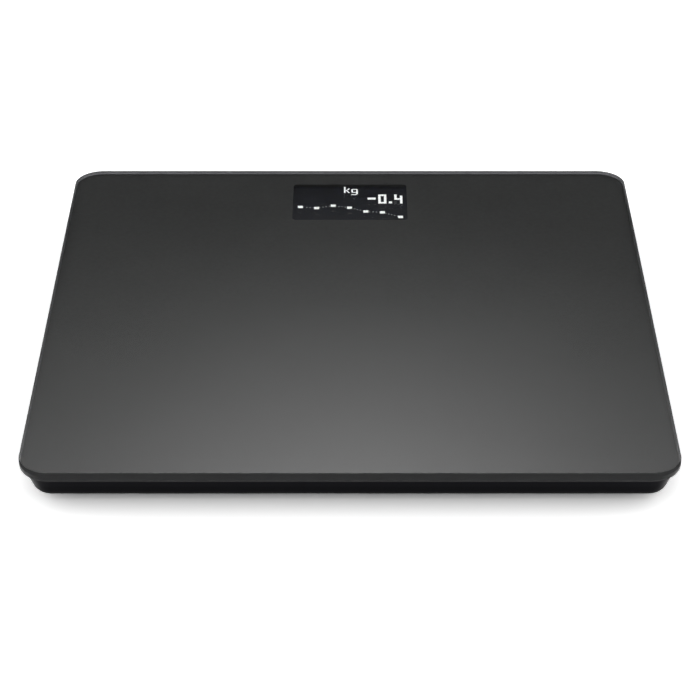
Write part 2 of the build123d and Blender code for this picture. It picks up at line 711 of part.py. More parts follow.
def rib_grid():
    """Stiffening ribs on the tray floor, kept clear of everything that sits there."""
    with BuildPart() as ribs:
        with BuildSketch(level(FLOOR_TOP - 0.5)):
            with GridLocations(RIB_PITCH, 0, 5, 1):
                Rectangle(RIB_THICKNESS, PLATE_SIZE)
            with GridLocations(0, RIB_PITCH, 1, 5):
                Rectangle(PLATE_SIZE, RIB_THICKNESS)
        extrude(amount=RIB_TOP - FLOOR_TOP + 0.5)
        add(tray_form(TRAY_WALL / 2), mode=Mode.INTERSECT)
        with BuildSketch(level(FLOOR_TOP)):
            with GridLocations(2 * FOOT_OFFSET, 2 * FOOT_OFFSET, 2, 2):
                Rectangle(CARRIER_SIZE + 2, CARRIER_SIZE + 2)
            with Locations((board_x, board_y)):
                Rectangle(board_width + 6, board_length + 10)
            with Locations((0, BAY_Y)):
                Rectangle(BAY_WIDTH, BAY_LENGTH)
        extrude(amount=SCALE_HEIGHT, mode=Mode.SUBTRACT)
        for points in lead_routes:
            channel = lead(points, CHANNEL_WIDTH, FLOOR_TOP, CHANNEL_HEIGHT)
            add(channel, mode=Mode.SUBTRACT)
    return ribs.part


with BuildPart() as base_tray:
    add(tray_form(0))
    add(tray_form(TRAY_WALL), mode=Mode.SUBTRACT)
    add(rib_grid())
    # battery bay: walls and ceiling, then its hollow
    with BuildSketch(level(TRAY_BOTTOM, y=BAY_Y)):
        Rectangle(BAY_WIDTH + 2 * BAY_WALL, BAY_LENGTH + 2 * BAY_WALL)
    extrude(amount=BAY_TOP - TRAY_BOTTOM)
    with BuildSketch(level(TRAY_BOTTOM, y=BAY_Y)):
        Rectangle(BAY_WIDTH, BAY_LENGTH)
    extrude(amount=BAY_CEILING - TRAY_BOTTOM, mode=Mode.SUBTRACT)
    # saddles on the ceiling that part the cells
    with BuildSketch(level(BAY_CEILING - SADDLE_DEPTH, y=BAY_Y)):
        with GridLocations(BATTERY_PITCH, BAY_LENGTH / 2, 3, 2):
            Rectangle(SADDLE_THICKNESS, SADDLE_LENGTH)
    extrude(amount=SADDLE_DEPTH + FIT_GAP)
    # seat of the door, with a finger notch and the latch window at its front
    recess_front = DOOR_FRONT_Y - FIT_GAP
    recess_rear = HINGE_Y + DOOR_THICKNESS / 2 + FIT_GAP
    with BuildSketch(level(TRAY_BOTTOM)):
        with Locations((0, (recess_front + recess_rear) / 2)):
            Rectangle(DOOR_WIDTH + 2 * FIT_GAP, recess_rear - recess_front)
        with Locations((0, recess_front)):
            Rectangle(NOTCH_WIDTH, 2 * NOTCH_LENGTH)
    extrude(amount=DOOR_THICKNESS + HINGE_CLEARANCE, mode=Mode.SUBTRACT)
    with BuildSketch(level(TRAY_BOTTOM)):
        with Locations((0, (recess_front + BAY_FRONT) / 2)):
            Rectangle(LATCH_WIDTH + 2, BAY_FRONT - recess_front)
    extrude(amount=FLOOR_THICKNESS + 2 * HOOK_THICKNESS, mode=Mode.SUBTRACT)
    # square sockets for the door's pins
    with BuildSketch(level(TRAY_BOTTOM, y=HINGE_Y)):
        socket_length = DOOR_THICKNESS + 2 * HINGE_CLEARANCE
        Rectangle(DOOR_WIDTH + 2 * (HINGE_PIN_LENGTH + FIT_GAP), socket_length)
    extrude(amount=DOOR_THICKNESS + HINGE_CLEARANCE, mode=Mode.SUBTRACT)
    # screw bosses under the board
    with BuildSketch(level(FLOOR_TOP)):
        with Locations(*BOARD_SCREWS):
            Rectangle(2 * BOSS_RADIUS, 2 * BOSS_RADIUS)
    extrude(amount=BOARD_BOTTOM - FLOOR_TOP)
    with BuildSketch(level(FLOOR_TOP)):
        with Locations(*BOARD_SCREWS):
            RegularPolygon(SCREW_HOLE_RADIUS, SCREW_SIDES)
    extrude(amount=BOARD_BOTTOM - FLOOR_TOP, mode=Mode.SUBTRACT)
    # raised lip and opening for each foot
    with BuildSketch(level(TRAY_BOTTOM - FOOT_LIP_HEIGHT)):
        with GridLocations(2 * FOOT_OFFSET, 2 * FOOT_OFFSET, 2, 2):
            Circle(FOOT_LIP_RADIUS)
    extrude(amount=FOOT_LIP_HEIGHT + FLOOR_THICKNESS / 2)
    with BuildSketch(level(TRAY_BOTTOM - FOOT_LIP_HEIGHT)):
        with GridLocations(2 * FOOT_OFFSET, 2 * FOOT_OFFSET, 2, 2):
            Circle(FOOT_OPENING_RADIUS)
    extrude(amount=FLOOR_THICKNESS + 2 * FOOT_LIP_HEIGHT, mode=Mode.SUBTRACT)
    # the pairing button sits in a shallow recess
    with BuildSketch(level(TRAY_BOTTOM, BUTTON_X, BUTTON_Y)):
        Rectangle(RECESS_WIDTH, RECESS_LENGTH)
    extrude(amount=RECESS_DEPTH, mode=Mode.SUBTRACT)
    with BuildSketch(level(TRAY_BOTTOM, BUTTON_X, BUTTON_Y)):
        Circle(BUTTON_RADIUS + FIT_GAP)
    extrude(amount=FLOOR_THICKNESS, mode=Mode.SUBTRACT)
save(base_tray, "base_tray")
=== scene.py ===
import logging
import math
from dataclasses import dataclass
from enum import Enum
from typing import Callable, Sequence, Union

import bmesh
import bpy
from bmesh.types import BMesh
from bpy.types import Material, Modifier, Node, NodeOutputs, NodeSocket, NodeTree, Object
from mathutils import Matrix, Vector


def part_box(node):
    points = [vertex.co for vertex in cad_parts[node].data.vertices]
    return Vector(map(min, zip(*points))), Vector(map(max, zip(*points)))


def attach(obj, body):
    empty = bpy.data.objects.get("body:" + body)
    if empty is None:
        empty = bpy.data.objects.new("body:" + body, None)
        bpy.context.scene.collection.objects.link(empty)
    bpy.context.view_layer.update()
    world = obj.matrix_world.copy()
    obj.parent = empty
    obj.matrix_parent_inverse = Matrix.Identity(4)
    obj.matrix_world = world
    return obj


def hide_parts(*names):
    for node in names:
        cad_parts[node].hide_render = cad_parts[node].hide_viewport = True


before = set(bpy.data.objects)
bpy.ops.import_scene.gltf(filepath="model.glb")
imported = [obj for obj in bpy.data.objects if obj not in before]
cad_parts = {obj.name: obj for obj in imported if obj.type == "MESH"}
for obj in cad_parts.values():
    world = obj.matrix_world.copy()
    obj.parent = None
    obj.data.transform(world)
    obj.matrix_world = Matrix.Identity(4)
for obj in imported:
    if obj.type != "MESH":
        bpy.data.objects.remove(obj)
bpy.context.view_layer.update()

MM = 0.001
LOG = logging.getLogger("scale")
Point = tuple[float, float, float]
Colour = tuple[float, float, float]
Span = tuple[float, float]
Value = Union[float, tuple, NodeSocket]
CORNERS = ("front_left", "front_right", "rear_left", "rear_right")
GLASS_IOR = 1.5


def grey(value: int) -> Colour:
    """Gives the linear colour of a display grey.

    Args:
        value: The grey, 0 to 255, as a screen shows it.

    Returns:
        Three equal linear values.
    """
    c = value / 255
    linear = c / 12.92 if c <= 0.04045 else ((c + 0.055) / 1.055) ** 2.4
    return (linear, linear, linear)


def rgba(colour: Colour) -> tuple[float, float, float, float]:
    """Adds a full alpha to a colour."""
    return (*colour, 1.0)


# ------------------------------------------------------------------ node trees


class Graph:
    """Adds nodes to a tree and links them, with one call for each node."""

    def __init__(self, tree: NodeTree) -> None:
        """Keeps the tree that the nodes go into."""
        self.tree = tree

    def fill(self, node: Node, inputs: dict) -> Node:
        """Sets or links a node's inputs.

        Args:
            node: The node.
            inputs: Values or output sockets, by input name or number.

        Returns:
            The same node.
        """
        for key, value in inputs.items():
            if isinstance(value, NodeSocket):
                self.tree.links.new(value, node.inputs[key])
            else:
                node.inputs[key].default_value = value
        return node

    def add(self, kind: str, inputs: dict | None = None, **settings: object) -> Node:
        """Adds one node.

        Args:
            kind: The node's type name.
            inputs: Values or output sockets, by input name or number.
            settings: Properties set on the node itself, before its inputs.

        Returns:
            The new node.
        """
        node = self.tree.nodes.new(kind)
        for key, value in settings.items():
            setattr(node, key, value)
        return self.fill(node, inputs or {})

    def math(self, operation: str, a: Value, b: Value = 0.0) -> NodeSocket:
        """Adds a Math node.

        Args:
            operation: The node's operation.
            a: First value or socket.
            b: Second value or socket.

        Returns:
            The result's socket.
        """
        return self.add("ShaderNodeMath", {0: a, 1: b}, operation=operation).outputs[0]

    def times(self, *factors: Value) -> NodeSocket:
        """Multiplies two or more values, one after the other.

        Args:
            factors: The values or sockets.

        Returns:
            The product's socket.
        """
        product = factors[0]
        for factor in factors[1:]:
            product = self.math("MULTIPLY", product, factor)
        return product

    def mix(self, factor: Value, a: Value, b: Value) -> NodeSocket:
        """Adds a Mix node for plain values.

        Args:
            factor: Share of b, from 0 to 1.
            a: First value or socket.
            b: Second value or socket.

        Returns:
            The mixed value's socket.
        """
        return self.add("ShaderNodeMix", {0: factor, 2: a, 3: b}, data_type="FLOAT").outputs[0]

    def mix_colour(self, factor: Value, a: Value, b: Value) -> NodeSocket:
        """Adds a Mix node for colours.

        Args:
            factor: Share of b, from 0 to 1.
            a: First colour or socket.
            b: Second colour or socket.

        Returns:
            The mixed colour's socket.
        """
        return self.add("ShaderNodeMix", {0: factor, 6: a, 7: b}, data_type="RGBA").outputs[2]

    def range(
        self, value: Value, low: float, high: float, to_low: float, to_high: float, **settings: object
    ) -> NodeSocket:
        """Adds a Map Range node.

        Args:
            value: The value or socket to map.
            low: Value that becomes to_low.
            high: Value that becomes to_high.
            to_low: Lower result.
            to_high: Upper result.
            settings: Properties set on the node itself.

        Returns:
            The mapped value's socket.
        """
        inputs = {0: value, 1: low, 2: high, 3: to_low, 4: to_high}
        return self.add("ShaderNodeMapRange", inputs, **settings).outputs[0]

    def place(self) -> NodeSocket:
        """Returns the place on the object."""
        return self.add("ShaderNodeTexCoord").outputs["Object"]

    def facing(self) -> NodeSocket:
        """Returns how far the surface turns away from the eye, 0 to 1."""
        return self.add("ShaderNodeLayerWeight", {"Blend": 0.5}).outputs["Facing"]

    def noise(self, scale: Value, place: NodeSocket | None = None, **inputs: Value) -> NodeSocket:
        """Adds a noise texture.

        Args:
            scale: Its scale, per metre.
            place: Where it is read; the place on the object if none is given.
            inputs: Its other inputs, by name.

        Returns:
            The noise's socket.
        """
        named = {"Vector": self.place() if place is None else place, "Scale": scale, **inputs}
        return self.add("ShaderNodeTexNoise", named).outputs[0]

    def sway(self, noise: NodeSocket, amount: Value) -> NodeSocket:
        """Turns a noise into a shift either way.

        Args:
            noise: The noise's socket.
            amount: The largest shift.

        Returns:
            The shift's socket.
        """
        return self.times(self.range(noise, 0.3, 0.7, -1.0, 1.0), amount)

    def bump(self, height: NodeSocket, depth: float, strength: float) -> NodeSocket:
        """Adds a Bump node.

        Args:
            height: The height's socket.
            depth: Depth of the relief, in metres.
            strength: Share of it that shows.

        Returns:
            The bent normal's socket.
        """
        inputs = {"Strength": strength, "Distance": depth, "Height": height}
        return self.add("ShaderNodeBump", inputs).outputs[0]


def new_group(
    name: str, inputs: Sequence[tuple], outputs: Sequence[tuple], kind: str = "ShaderNodeTree"
) -> tuple[NodeTree, Graph, Node, Node]:
    """Makes an empty node group with named sockets.

    Args:
        name: The group's name.
        inputs: Name, socket type and default value of each input.
        outputs: Name and socket type of each output.
        kind: The tree's type.

    Returns:
        The group, its Graph, and its input and output nodes.
    """
    group = bpy.data.node_groups.new(name, kind)
    for label, socket_type, default in inputs:
        socket = group.interface.new_socket(label, in_out="INPUT", socket_type=socket_type)
        if default is not None:
            socket.default_value = default
    for label, socket_type in outputs:
        group.interface.new_socket(label, in_out="OUTPUT", socket_type=socket_type)
    graph = Graph(group)
    return group, graph, graph.add("NodeGroupInput"), graph.add("NodeGroupOutput")


class Effects:
    """Shader groups that several finishes share, each built once."""

    _made: dict[str, NodeTree] = {}

    @classmethod
    def get(cls, name: str) -> NodeTree:
        """Finds a shared group, built on its first use.

        Args:
            name: The effect's name.

        Returns:
            The group.
        """
        if name not in cls._made:
            cls._made[name] = getattr(cls, f"_{name}")()
        return cls._made[name]

    @staticmethod
    def _grain() -> NodeTree:
        """Builds the spark-eroded grain of a moulding, with faint broad shifts of tone.

        Returns:
            The group.
        """
        group, g, start, end = new_group(
            "grain",
            [
                ("Colour", "NodeSocketColor", (0.5, 0.5, 0.5, 1)),
                ("Tone Shift", "NodeSocketFloat", 0.1),
                ("Grain Scale", "NodeSocketFloat", 1500.0),
                ("Roughness", "NodeSocketFloat", 0.5),
                ("Roughness Shift", "NodeSocketFloat", 0.06),
            ],
            [("Colour", "NodeSocketColor"), ("Roughness", "NodeSocketFloat"), ("Height", "NodeSocketFloat")],
        )
        given = start.outputs
        fine = g.noise(given["Grain Scale"], Detail=3.0, Roughness=0.6)
        broad = g.noise(14.0, Detail=3.0, Roughness=0.5)
        shift = g.math("ADD", g.sway(broad, given["Tone Shift"]), g.sway(fine, given["Tone Shift"]))
        tone = g.math("ADD", 1.0, shift)
        shade = g.add("ShaderNodeVectorMath", {0: given["Colour"], 3: tone}, operation="SCALE")
        rough = g.math("ADD", given["Roughness"], g.sway(broad, given["Roughness Shift"]))
        g.fill(end, {"Colour": shade.outputs[0], "Roughness": rough, "Height": fine})
        return group

    @staticmethod
    def _dust() -> NodeTree:
        """Builds a thin scatter of dust specks that lies over a colour.

        Returns:
            The group.
        """
        group, g, start, end = new_group(
            "dust",
            [
                ("Colour", "NodeSocketColor", (0.5, 0.5, 0.5, 1)),
                ("Dust Colour", "NodeSocketColor", (0.4, 0.39, 0.37, 1)),
                ("Amount", "NodeSocketFloat", 0.1),
                ("Speck Scale", "NodeSocketFloat", 900.0),
            ],
            [("Colour", "NodeSocketColor")],
        )
        given = start.outputs
        specks = g.add("ShaderNodeTexVoronoi", {"Vector": g.place(), "Scale": given["Speck Scale"]})
        dot = g.range(specks.outputs["Distance"], 0.05, 0.16, 1.0, 0.0)
        film = g.range(g.noise(30.0, Detail=4.0), 0.45, 0.75, 0.0, 1.0)
        mask = g.times(dot, film, given["Amount"])
        g.fill(end, {"Colour": g.mix_colour(mask, given["Colour"], given["Dust Colour"])})
        return group

    @staticmethod
    def _brushing() -> NodeTree:
        """Builds the long fine lines of rolled or brushed metal.

        Returns:
            The group.
        """
        group, g, start, end = new_group(
            "brushing",
            [
                ("Stretch", "NodeSocketVector", (1.0, 0.02, 1.0)),
                ("Line Scale", "NodeSocketFloat", 2500.0),
                ("Roughness", "NodeSocketFloat", 0.3),
                ("Roughness Shift", "NodeSocketFloat", 0.1),
            ],
            [("Roughness", "NodeSocketFloat"), ("Height", "NodeSocketFloat")],
        )
        given = start.outputs
        pulled = g.add("ShaderNodeVectorMath", {0: g.place(), 1: given["Stretch"]}, operation="MULTIPLY")
        lines = g.noise(given["Line Scale"], pulled.outputs[0], Detail=4.0)
        rough = g.math("ADD", given["Roughness"], g.sway(lines, given["Roughness Shift"]))
        g.fill(end, {"Roughness": rough, "Height": lines})
        return group

    @staticmethod
    def _smudges() -> NodeTree:
        """Builds faint wiped smears that dull a gloss.

        Returns:
            The group.
        """
        group, g, start, end = new_group(
            "smudges",
            [("Roughness", "NodeSocketFloat", 0.05), ("Amount", "NodeSocketFloat", 0.05)],
            [("Roughness", "NodeSocketFloat")],
        )
        given = start.outputs
        smear = g.range(g.noise(16.0, Detail=5.0, Distortion=1.2), 0.5, 0.75, 0.0, 1.0)
        extra = g.times(smear, given["Amount"])
        g.fill(end, {"Roughness": g.math("ADD", given["Roughness"], extra)})
        return group


def effect(g: Graph, name: str, **inputs: Value) -> NodeOutputs:
    """Places a shared group in a material.

    Args:
        g: The material's graph.
        name: The group's name in Effects.
        inputs: Values by input name, with _ for a space.

    Returns:
        The group's outputs, by name.
    """
    named = {key.replace("_", " "): value for key, value in inputs.items()}
    return g.add("ShaderNodeGroup", named, node_tree=Effects.get(name)).outputs


# ------------------------------------------------------------------ finishes


class Finish:
    """A named material that is built on its first use."""

    name: str

    def material(self) -> Material:
        """Builds the material, or finds it again.

        Returns:
            The finish's material.
        """
        found = bpy.data.materials.get(self.name)
        if found:
            return found
        made = bpy.data.materials.new(self.name)
        made.use_nodes = True
        made.node_tree.nodes.clear()
        g = Graph(made.node_tree)
        shader = g.add("ShaderNodeBsdfPrincipled", self.shade(g))
        g.add("ShaderNodeOutputMaterial", {"Surface": shader.outputs[0]})
        return made

    def shade(self, g: Graph) -> dict[str, Value]:
        """Gives the shader's inputs by name; each kind of finish has its own."""
        raise NotImplementedError


@dataclass(frozen=True)
class Moulding(Finish):
    """Grained plastic or rubber. Relief is the depth of its grain, in metres."""

    name: str
    colour: Colour
    roughness: float = 0.5
    grain_scale: float = 1500.0
    relief: float = 0.03 * MM
    tone_shift: float = 0.08
    dust: float = 0.1
    specular: float = 0.5

    def shade(self, g: Graph) -> dict[str, Value]:
        """Builds grain, dust and a fine bump.

        Args:
            g: The material's graph.

        Returns:
            The shader's inputs.
        """
        grain = effect(
            g, "grain", Colour=rgba(self.colour), Tone_Shift=self.tone_shift,
            Grain_Scale=self.grain_scale, Roughness=self.roughness, Roughness_Shift=0.05,
        )
        dust = effect(g, "dust", Colour=grain["Colour"], Amount=self.dust)
        return {
            "Base Color": dust["Colour"],
            "Roughness": grain["Roughness"],
            "Specular IOR Level": self.specular,
            "Normal": g.bump(grain["Height"], self.relief, 0.6),
        }


@dataclass(frozen=True)
class WallMoulding(Moulding):
    """Moulding whose walls carry painted light, paler towards the top, and are glossy at a grazing look.

    Each pair holds the limits of a change: the painted light's span is a height in metres, grazing a share of
    the turn away from the eye, and upright the normal's rise, which keeps the gloss off the underside.
    """

    # Painted light: the wall's paler colour at its top.
    painted_top_light: Colour = (0.0048, 0.0047, 0.0065)
    painted_light_z: Span = (12.0 * MM, 16.5 * MM)
    gloss: float = 0.7
    gloss_roughness: float = 0.1
    grazing: Span = (0.55, 0.85)
    upright: Span = (-0.5, -0.4)

    def shade(self, g: Graph) -> dict[str, Value]:
        """Adds the painted light at the paler top and the gloss to the plain moulding.

        Args:
            g: The material's graph.

        Returns:
            The shader's inputs.
        """
        inputs = super().shade(g)
        # Painted light: the colour turns paler towards the top of the wall, by height alone.
        height = g.add("ShaderNodeSeparateXYZ", {0: g.place()}).outputs["Z"]
        painted_light_share = g.range(height, *self.painted_light_z, 0.0, 1.0)
        inputs["Base Color"] = g.mix_colour(painted_light_share, inputs["Base Color"], rgba(self.painted_top_light))
        normal = g.add("ShaderNodeTexCoord").outputs["Normal"]
        rise = g.add("ShaderNodeSeparateXYZ", {0: normal}).outputs["Z"]
        shine = g.range(g.facing(), *self.grazing, 0.0, self.gloss)
        inputs["Coat Weight"] = g.times(shine, g.range(rise, *self.upright, 0.0, 1.0))
        inputs["Coat Roughness"] = self.gloss_roughness
        return inputs


@dataclass(frozen=True)
class Sheet(Finish):
    """Printed film, foam tape or solder mask: an even colour with a faint weave."""

    name: str
    colour: Colour
    roughness: float = 0.4
    weave_scale: float = 3000.0
    relief: float = 0.01 * MM
    coat: float = 0.0
    specular: float = 0.5

    def shade(self, g: Graph) -> dict[str, Value]:
        """Builds the colour shift, smudges and weave.

        Args:
            g: The material's graph.

        Returns:
            The shader's inputs.
        """
        grain = effect(
            g, "grain", Colour=rgba(self.colour), Tone_Shift=0.05,
            Grain_Scale=self.weave_scale, Roughness=self.roughness, Roughness_Shift=0.04,
        )
        return {
            "Base Color": grain["Colour"],
            "Roughness": effect(g, "smudges", Roughness=grain["Roughness"], Amount=0.08)["Roughness"],
            "Coat Weight": self.coat,
            "Specular IOR Level": self.specular,
            "Normal": g.bump(grain["Height"], self.relief, 0.4),
        }


@dataclass(frozen=True)
class Metal(Finish):
    """Rolled, plated or brushed metal."""

    name: str
    colour: Colour
    roughness: float = 0.3
    stretch: Point = (1.0, 0.03, 1.0)
    line_scale: float = 2500.0
    relief: float = 0.02 * MM

    def shade(self, g: Graph) -> dict[str, Value]:
        """Builds the brushing and smudges.

        Args:
            g: The material's graph.

        Returns:
            The shader's inputs.
        """
        lines = effect(
            g, "brushing", Stretch=self.stretch, Line_Scale=self.line_scale,
            Roughness=self.roughness, Roughness_Shift=0.08,
        )
        return {
            "Base Color": rgba(self.colour),
            "Metallic": 1.0,
            "Roughness": effect(g, "smudges", Roughness=lines["Roughness"], Amount=0.15)["Roughness"],
            "Normal": g.bump(lines["Height"], self.relief, 0.3),
        }


@dataclass(frozen=True)
class ClearGlass(Finish):
    """Polished glass that light passes through."""

    name: str
    colour: Colour = (0.96, 0.98, 0.97)
    roughness: float = 0.0
    smear: float = 0.015

    def shade(self, g: Graph) -> dict[str, Value]:
        """Builds the glass, with faint smears in its gloss.

        Args:
            g: The material's graph.

        Returns:
            The shader's inputs.
        """
        smudge = effect(g, "smudges", Roughness=self.roughness, Amount=self.smear)
        return {
            "Base Color": rgba(self.colour),
            "Roughness": smudge["Roughness"],
            "IOR": GLASS_IOR,
            "Transmission Weight": 1.0,
        }


@dataclass(frozen=True)
class EdgeGlass(ClearGlass):
    """Ground edge of the plate, with painted shade that makes it darker along its sides than at its front and
    rear.

    Its round front corners carry painted shade above and a painted highlight below. The wall above the lower
    arris is glossy at a grazing look. Each pair holds the limits of a change: grazing as a share of the turn
    away from the eye, the others as places in metres.
    """

    roughness: float = 0.8
    smear: float = 0.05
    # Painted shade: the darker colour of the side edges.
    painted_side_shade: Colour = (0.03, 0.03, 0.035)
    # Painted shade and painted highlight: the dark colour above and the pale colour below at the front
    # corners.
    painted_corner_shade: Colour = (0.001, 0.001, 0.001)
    painted_corner_highlight: Colour = (0.30, 0.30, 0.31)
    gloss_roughness: float = 0.08
    grazing: Span = (0.3, 0.8)
    end_y: Span = (110.0 * MM, 148.0 * MM)
    corner_x: Span = (152.0 * MM, 161.0 * MM)
    corner_y: Span = (-148.0 * MM, -143.0 * MM)
    wall_z: Span = (18.8 * MM, 19.4 * MM)
    # Height where the corners' painted shade gives way to the painted highlight.
    painted_corner_z: Span = (20.3 * MM, 21.0 * MM)

    def shade(self, g: Graph) -> dict[str, Value]:
        """Adds the painted shade along the sides, the painted shade and highlight at the corners and the
        gloss to the plain glass.

        Args:
            g: The material's graph.

        Returns:
            The shader's inputs.
        """
        x, y, z = g.add("ShaderNodeSeparateXYZ", {0: g.place()}).outputs
        # Painted shade: the sides darker than the front and rear.
        at_end = g.range(g.math("ABSOLUTE", y), *self.end_y, 0.0, 1.0)
        tone = g.mix_colour(at_end, rgba(self.painted_side_shade), rgba(self.colour))
        # Painted shade above and a painted highlight below at the round front corners; the gloss keeps off
        # the painted shade.
        outward = g.range(g.math("ABSOLUTE", x), *self.corner_x, 0.0, 1.0)
        at_corner = g.times(outward, g.range(y, *self.corner_y, 1.0, 0.0))
        upper = g.range(z, *self.painted_corner_z, 0.0, 1.0)
        lens = g.mix_colour(upper, rgba(self.painted_corner_highlight), rgba(self.painted_corner_shade))
        off_painted_corner = g.math("SUBTRACT", 1.0, g.times(upper, at_corner))
        wall = g.times(g.range(z, *self.wall_z, 0.0, 1.0), off_painted_corner)
        return super().shade(g) | {
            "Base Color": g.mix_colour(at_corner, tone, lens),
            "Coat Weight": g.times(g.range(g.facing(), *self.grazing, 0.0, 1.0), wall),
            "Coat Roughness": self.gloss_roughness,
        }


@dataclass(frozen=True)
class Glow(Finish):
    """Lit dots of the display, with a slight difference from dot to dot."""

    name: str
    colour: Colour
    strength: float
    least: float = 0.94

    def shade(self, g: Graph) -> dict[str, Value]:
        """Builds the glow over a dark base.

        Args:
            g: The material's graph.

        Returns:
            The shader's inputs.
        """
        tone = g.range(g.noise(600.0), 0.2, 0.8, self.least, 1.0)
        shade = g.add("ShaderNodeVectorMath", {0: self.colour, 3: tone}, operation="SCALE")
        return {
            "Base Color": rgba(grey(30)),
            "Roughness": 0.4,
            "Emission Color": shade.outputs[0],
            "Emission Strength": self.strength,
        }


class Finishes(Enum):
    """Every finish on the scale."""

    PLATE = ClearGlass("polished_plate_glass")
    # Painted shade along the sides, and painted shade and a painted highlight at the front corners.
    PLATE_EDGE = EdgeGlass("ground_plate_edge", (0.09, 0.09, 0.10))
    BACKING = Sheet("black_backing_print", grey(76), 0.6, 400.0, relief=0.0, specular=0.0)
    TAPE = Sheet("black_foam_tape", grey(22), 0.9, 1800.0, relief=0.05 * MM)
    PANEL = Sheet("display_face", (0.006, 0.007, 0.015), 0.2, 2000.0, relief=0.0, specular=0.05)
    BRIGHT_DOT = Glow("bright_dot", (1.0, 1.0, 1.0), 1.3)
    DIM_DOT = Glow("dim_dot", (0.80, 0.83, 0.88), 1.0)
    FLEX = Sheet("amber_flex_film", (0.42, 0.17, 0.03), 0.3, 1200.0)
    INNER = Moulding("dark_inner_moulding", grey(58), 0.55)
    # The tray's walls carry painted light, paler towards the top.
    TRAY = WallMoulding(
        "satin_black_moulding", (0.0018, 0.0017, 0.0028), 0.36, 1400.0,
        relief=0.02 * MM, tone_shift=0.06, dust=0.02, specular=0.05,
    )
    LAMINATE = Sheet(
        "green_board_laminate", (0.012, 0.10, 0.035), 0.35, 900.0, relief=0.03 * MM, coat=0.3
    )
    TIN = Metal("tinned_shield", (0.72, 0.71, 0.69), 0.28)
    RESIN = Moulding("chip_resin", grey(40), 0.6, 2500.0)
    NYLON = Moulding("natural_nylon", (0.74, 0.70, 0.58), 0.45, 1800.0)
    BUTTON = Moulding("button_moulding", grey(84), 0.45, 1600.0)
    LEAD = Moulding("lead_sheath", grey(168), 0.5, 1200.0)
    SPRING = Metal("plated_spring_steel", (0.78, 0.76, 0.72), 0.2)
    SCREW = Metal("zinc_plated_steel", (0.66, 0.66, 0.68), 0.32)
    SLEEVE = Sheet("cell_sleeve_dark", grey(30), 0.25, 1200.0, relief=0.005 * MM, coat=0.4)
    SLEEVE_BAND = Sheet(
        "cell_sleeve_copper", (0.48, 0.20, 0.08), 0.25, 1200.0, relief=0.005 * MM, coat=0.4
    )
    RUBBER = Moulding(
        "foot_rubber", grey(52), 0.8, 900.0, relief=0.06 * MM, tone_shift=0.12, dust=0.25
    )
    CAP = Moulding("foot_cap_moulding", grey(36), 0.5, 1500.0)
    CELL = Metal("plated_cell_steel", (0.70, 0.68, 0.64), 0.3, stretch=(0.03, 1.0, 1.0))
    GAUGE = Moulding("gauge_resin", (0.70, 0.70, 0.66), 0.35, 1200.0)

    @property
    def material(self) -> Material:
        """The finish's material."""
        return self.value.material()


# ------------------------------------------------------------------ shapes


def quarter_turn(steps: int) -> list[float]:
    """Divides a right angle, both ends included, in radians."""
    return [math.radians(90 * step / steps) for step in range(steps + 1)]


def rounded_outline(width: float, length: float, radius: float, steps: int) -> list[tuple[float, float]]:
    """Gives points round a rectangle with round corners.

    Args:
        width: Size along X, in metres.
        length: Size along Y, in metres.
        radius: Corner radius, in metres.
        steps: Segments in each corner.

    Returns:
        Points in order, counter-clockwise.
    """
    points = []
    for quarter in range(4):
        side_x = 1 if quarter in (0, 3) else -1
        side_y = 1 if quarter in (0, 1) else -1
        middle = (side_x * (width / 2 - radius), side_y * (length / 2 - radius))
        for step in range(steps + 1):
            turn = math.radians(90 * quarter + 90 * step / steps)
            points.append((middle[0] + radius * math.cos(turn), middle[1] + radius * math.sin(turn)))
    return points


def finish_mesh(bm: BMesh, name: str, smooth_angle: float = 35.0) -> Object:
    """Turns a bmesh into a shaded object in the scene.

    Args:
        bm: The shape; it is freed.
        name: The object's name.
        smooth_angle: Edges sharper than this stay sharp, in degrees.

    Returns:
        The new object.
    """
    mesh = bpy.data.meshes.new(name)
    bm.to_mesh(mesh)
    bm.free()
    mesh.polygons.foreach_set("use_smooth", [True] * len(mesh.polygons))
    mesh.set_sharp_from_angle(angle=math.radians(smooth_angle))
    mesh.update()
    piece = bpy.data.objects.new(name, mesh)
    bpy.context.scene.collection.objects.link(piece)
    return piece


def applied(piece: Object, modifier: Modifier) -> Object:
    """Turns a piece's modifier into plain mesh.

    Args:
        piece: The piece; it keeps its name and gets the new mesh.
        modifier: Its only modifier, which is removed.

    Returns:
        The same piece.
    """
    bpy.context.view_layer.update()
    graph = bpy.context.evaluated_depsgraph_get()
    mesh = bpy.data.meshes.new_from_object(piece.evaluated_get(graph), depsgraph=graph)
    piece.modifiers.remove(modifier)
    piece.data = mesh
    mesh.name = piece.name
    return piece


def stack_rings(bm: BMesh, rings: Sequence[Sequence[Point]], slots: Sequence[int] = ()) -> None:
    """Joins closed rings of equal length into a closed skin, with a lid at each end.

    Args:
        bm: The mesh to add to.
        rings: The rings from one end to the other.
        slots: Material number of each band between two rings, then of both lids; 0 if empty.
    """
    made = [[bm.verts.new(p) for p in ring] for ring in rings]
    for level, (low, high) in enumerate(zip(made, made[1:])):
        for i in range(len(low)):
            j = (i + 1) % len(low)
            face = bm.faces.new((low[i], low[j], high[j], high[i]))
            face.material_index = slots[level] if slots else 0
    for ring, slot in ((made[0][::-1], -2), (made[-1], -1)):
        face = bm.faces.new(ring)
        face.material_index = slots[slot] if slots else 0
    bmesh.ops.recalc_face_normals(bm, faces=bm.faces)


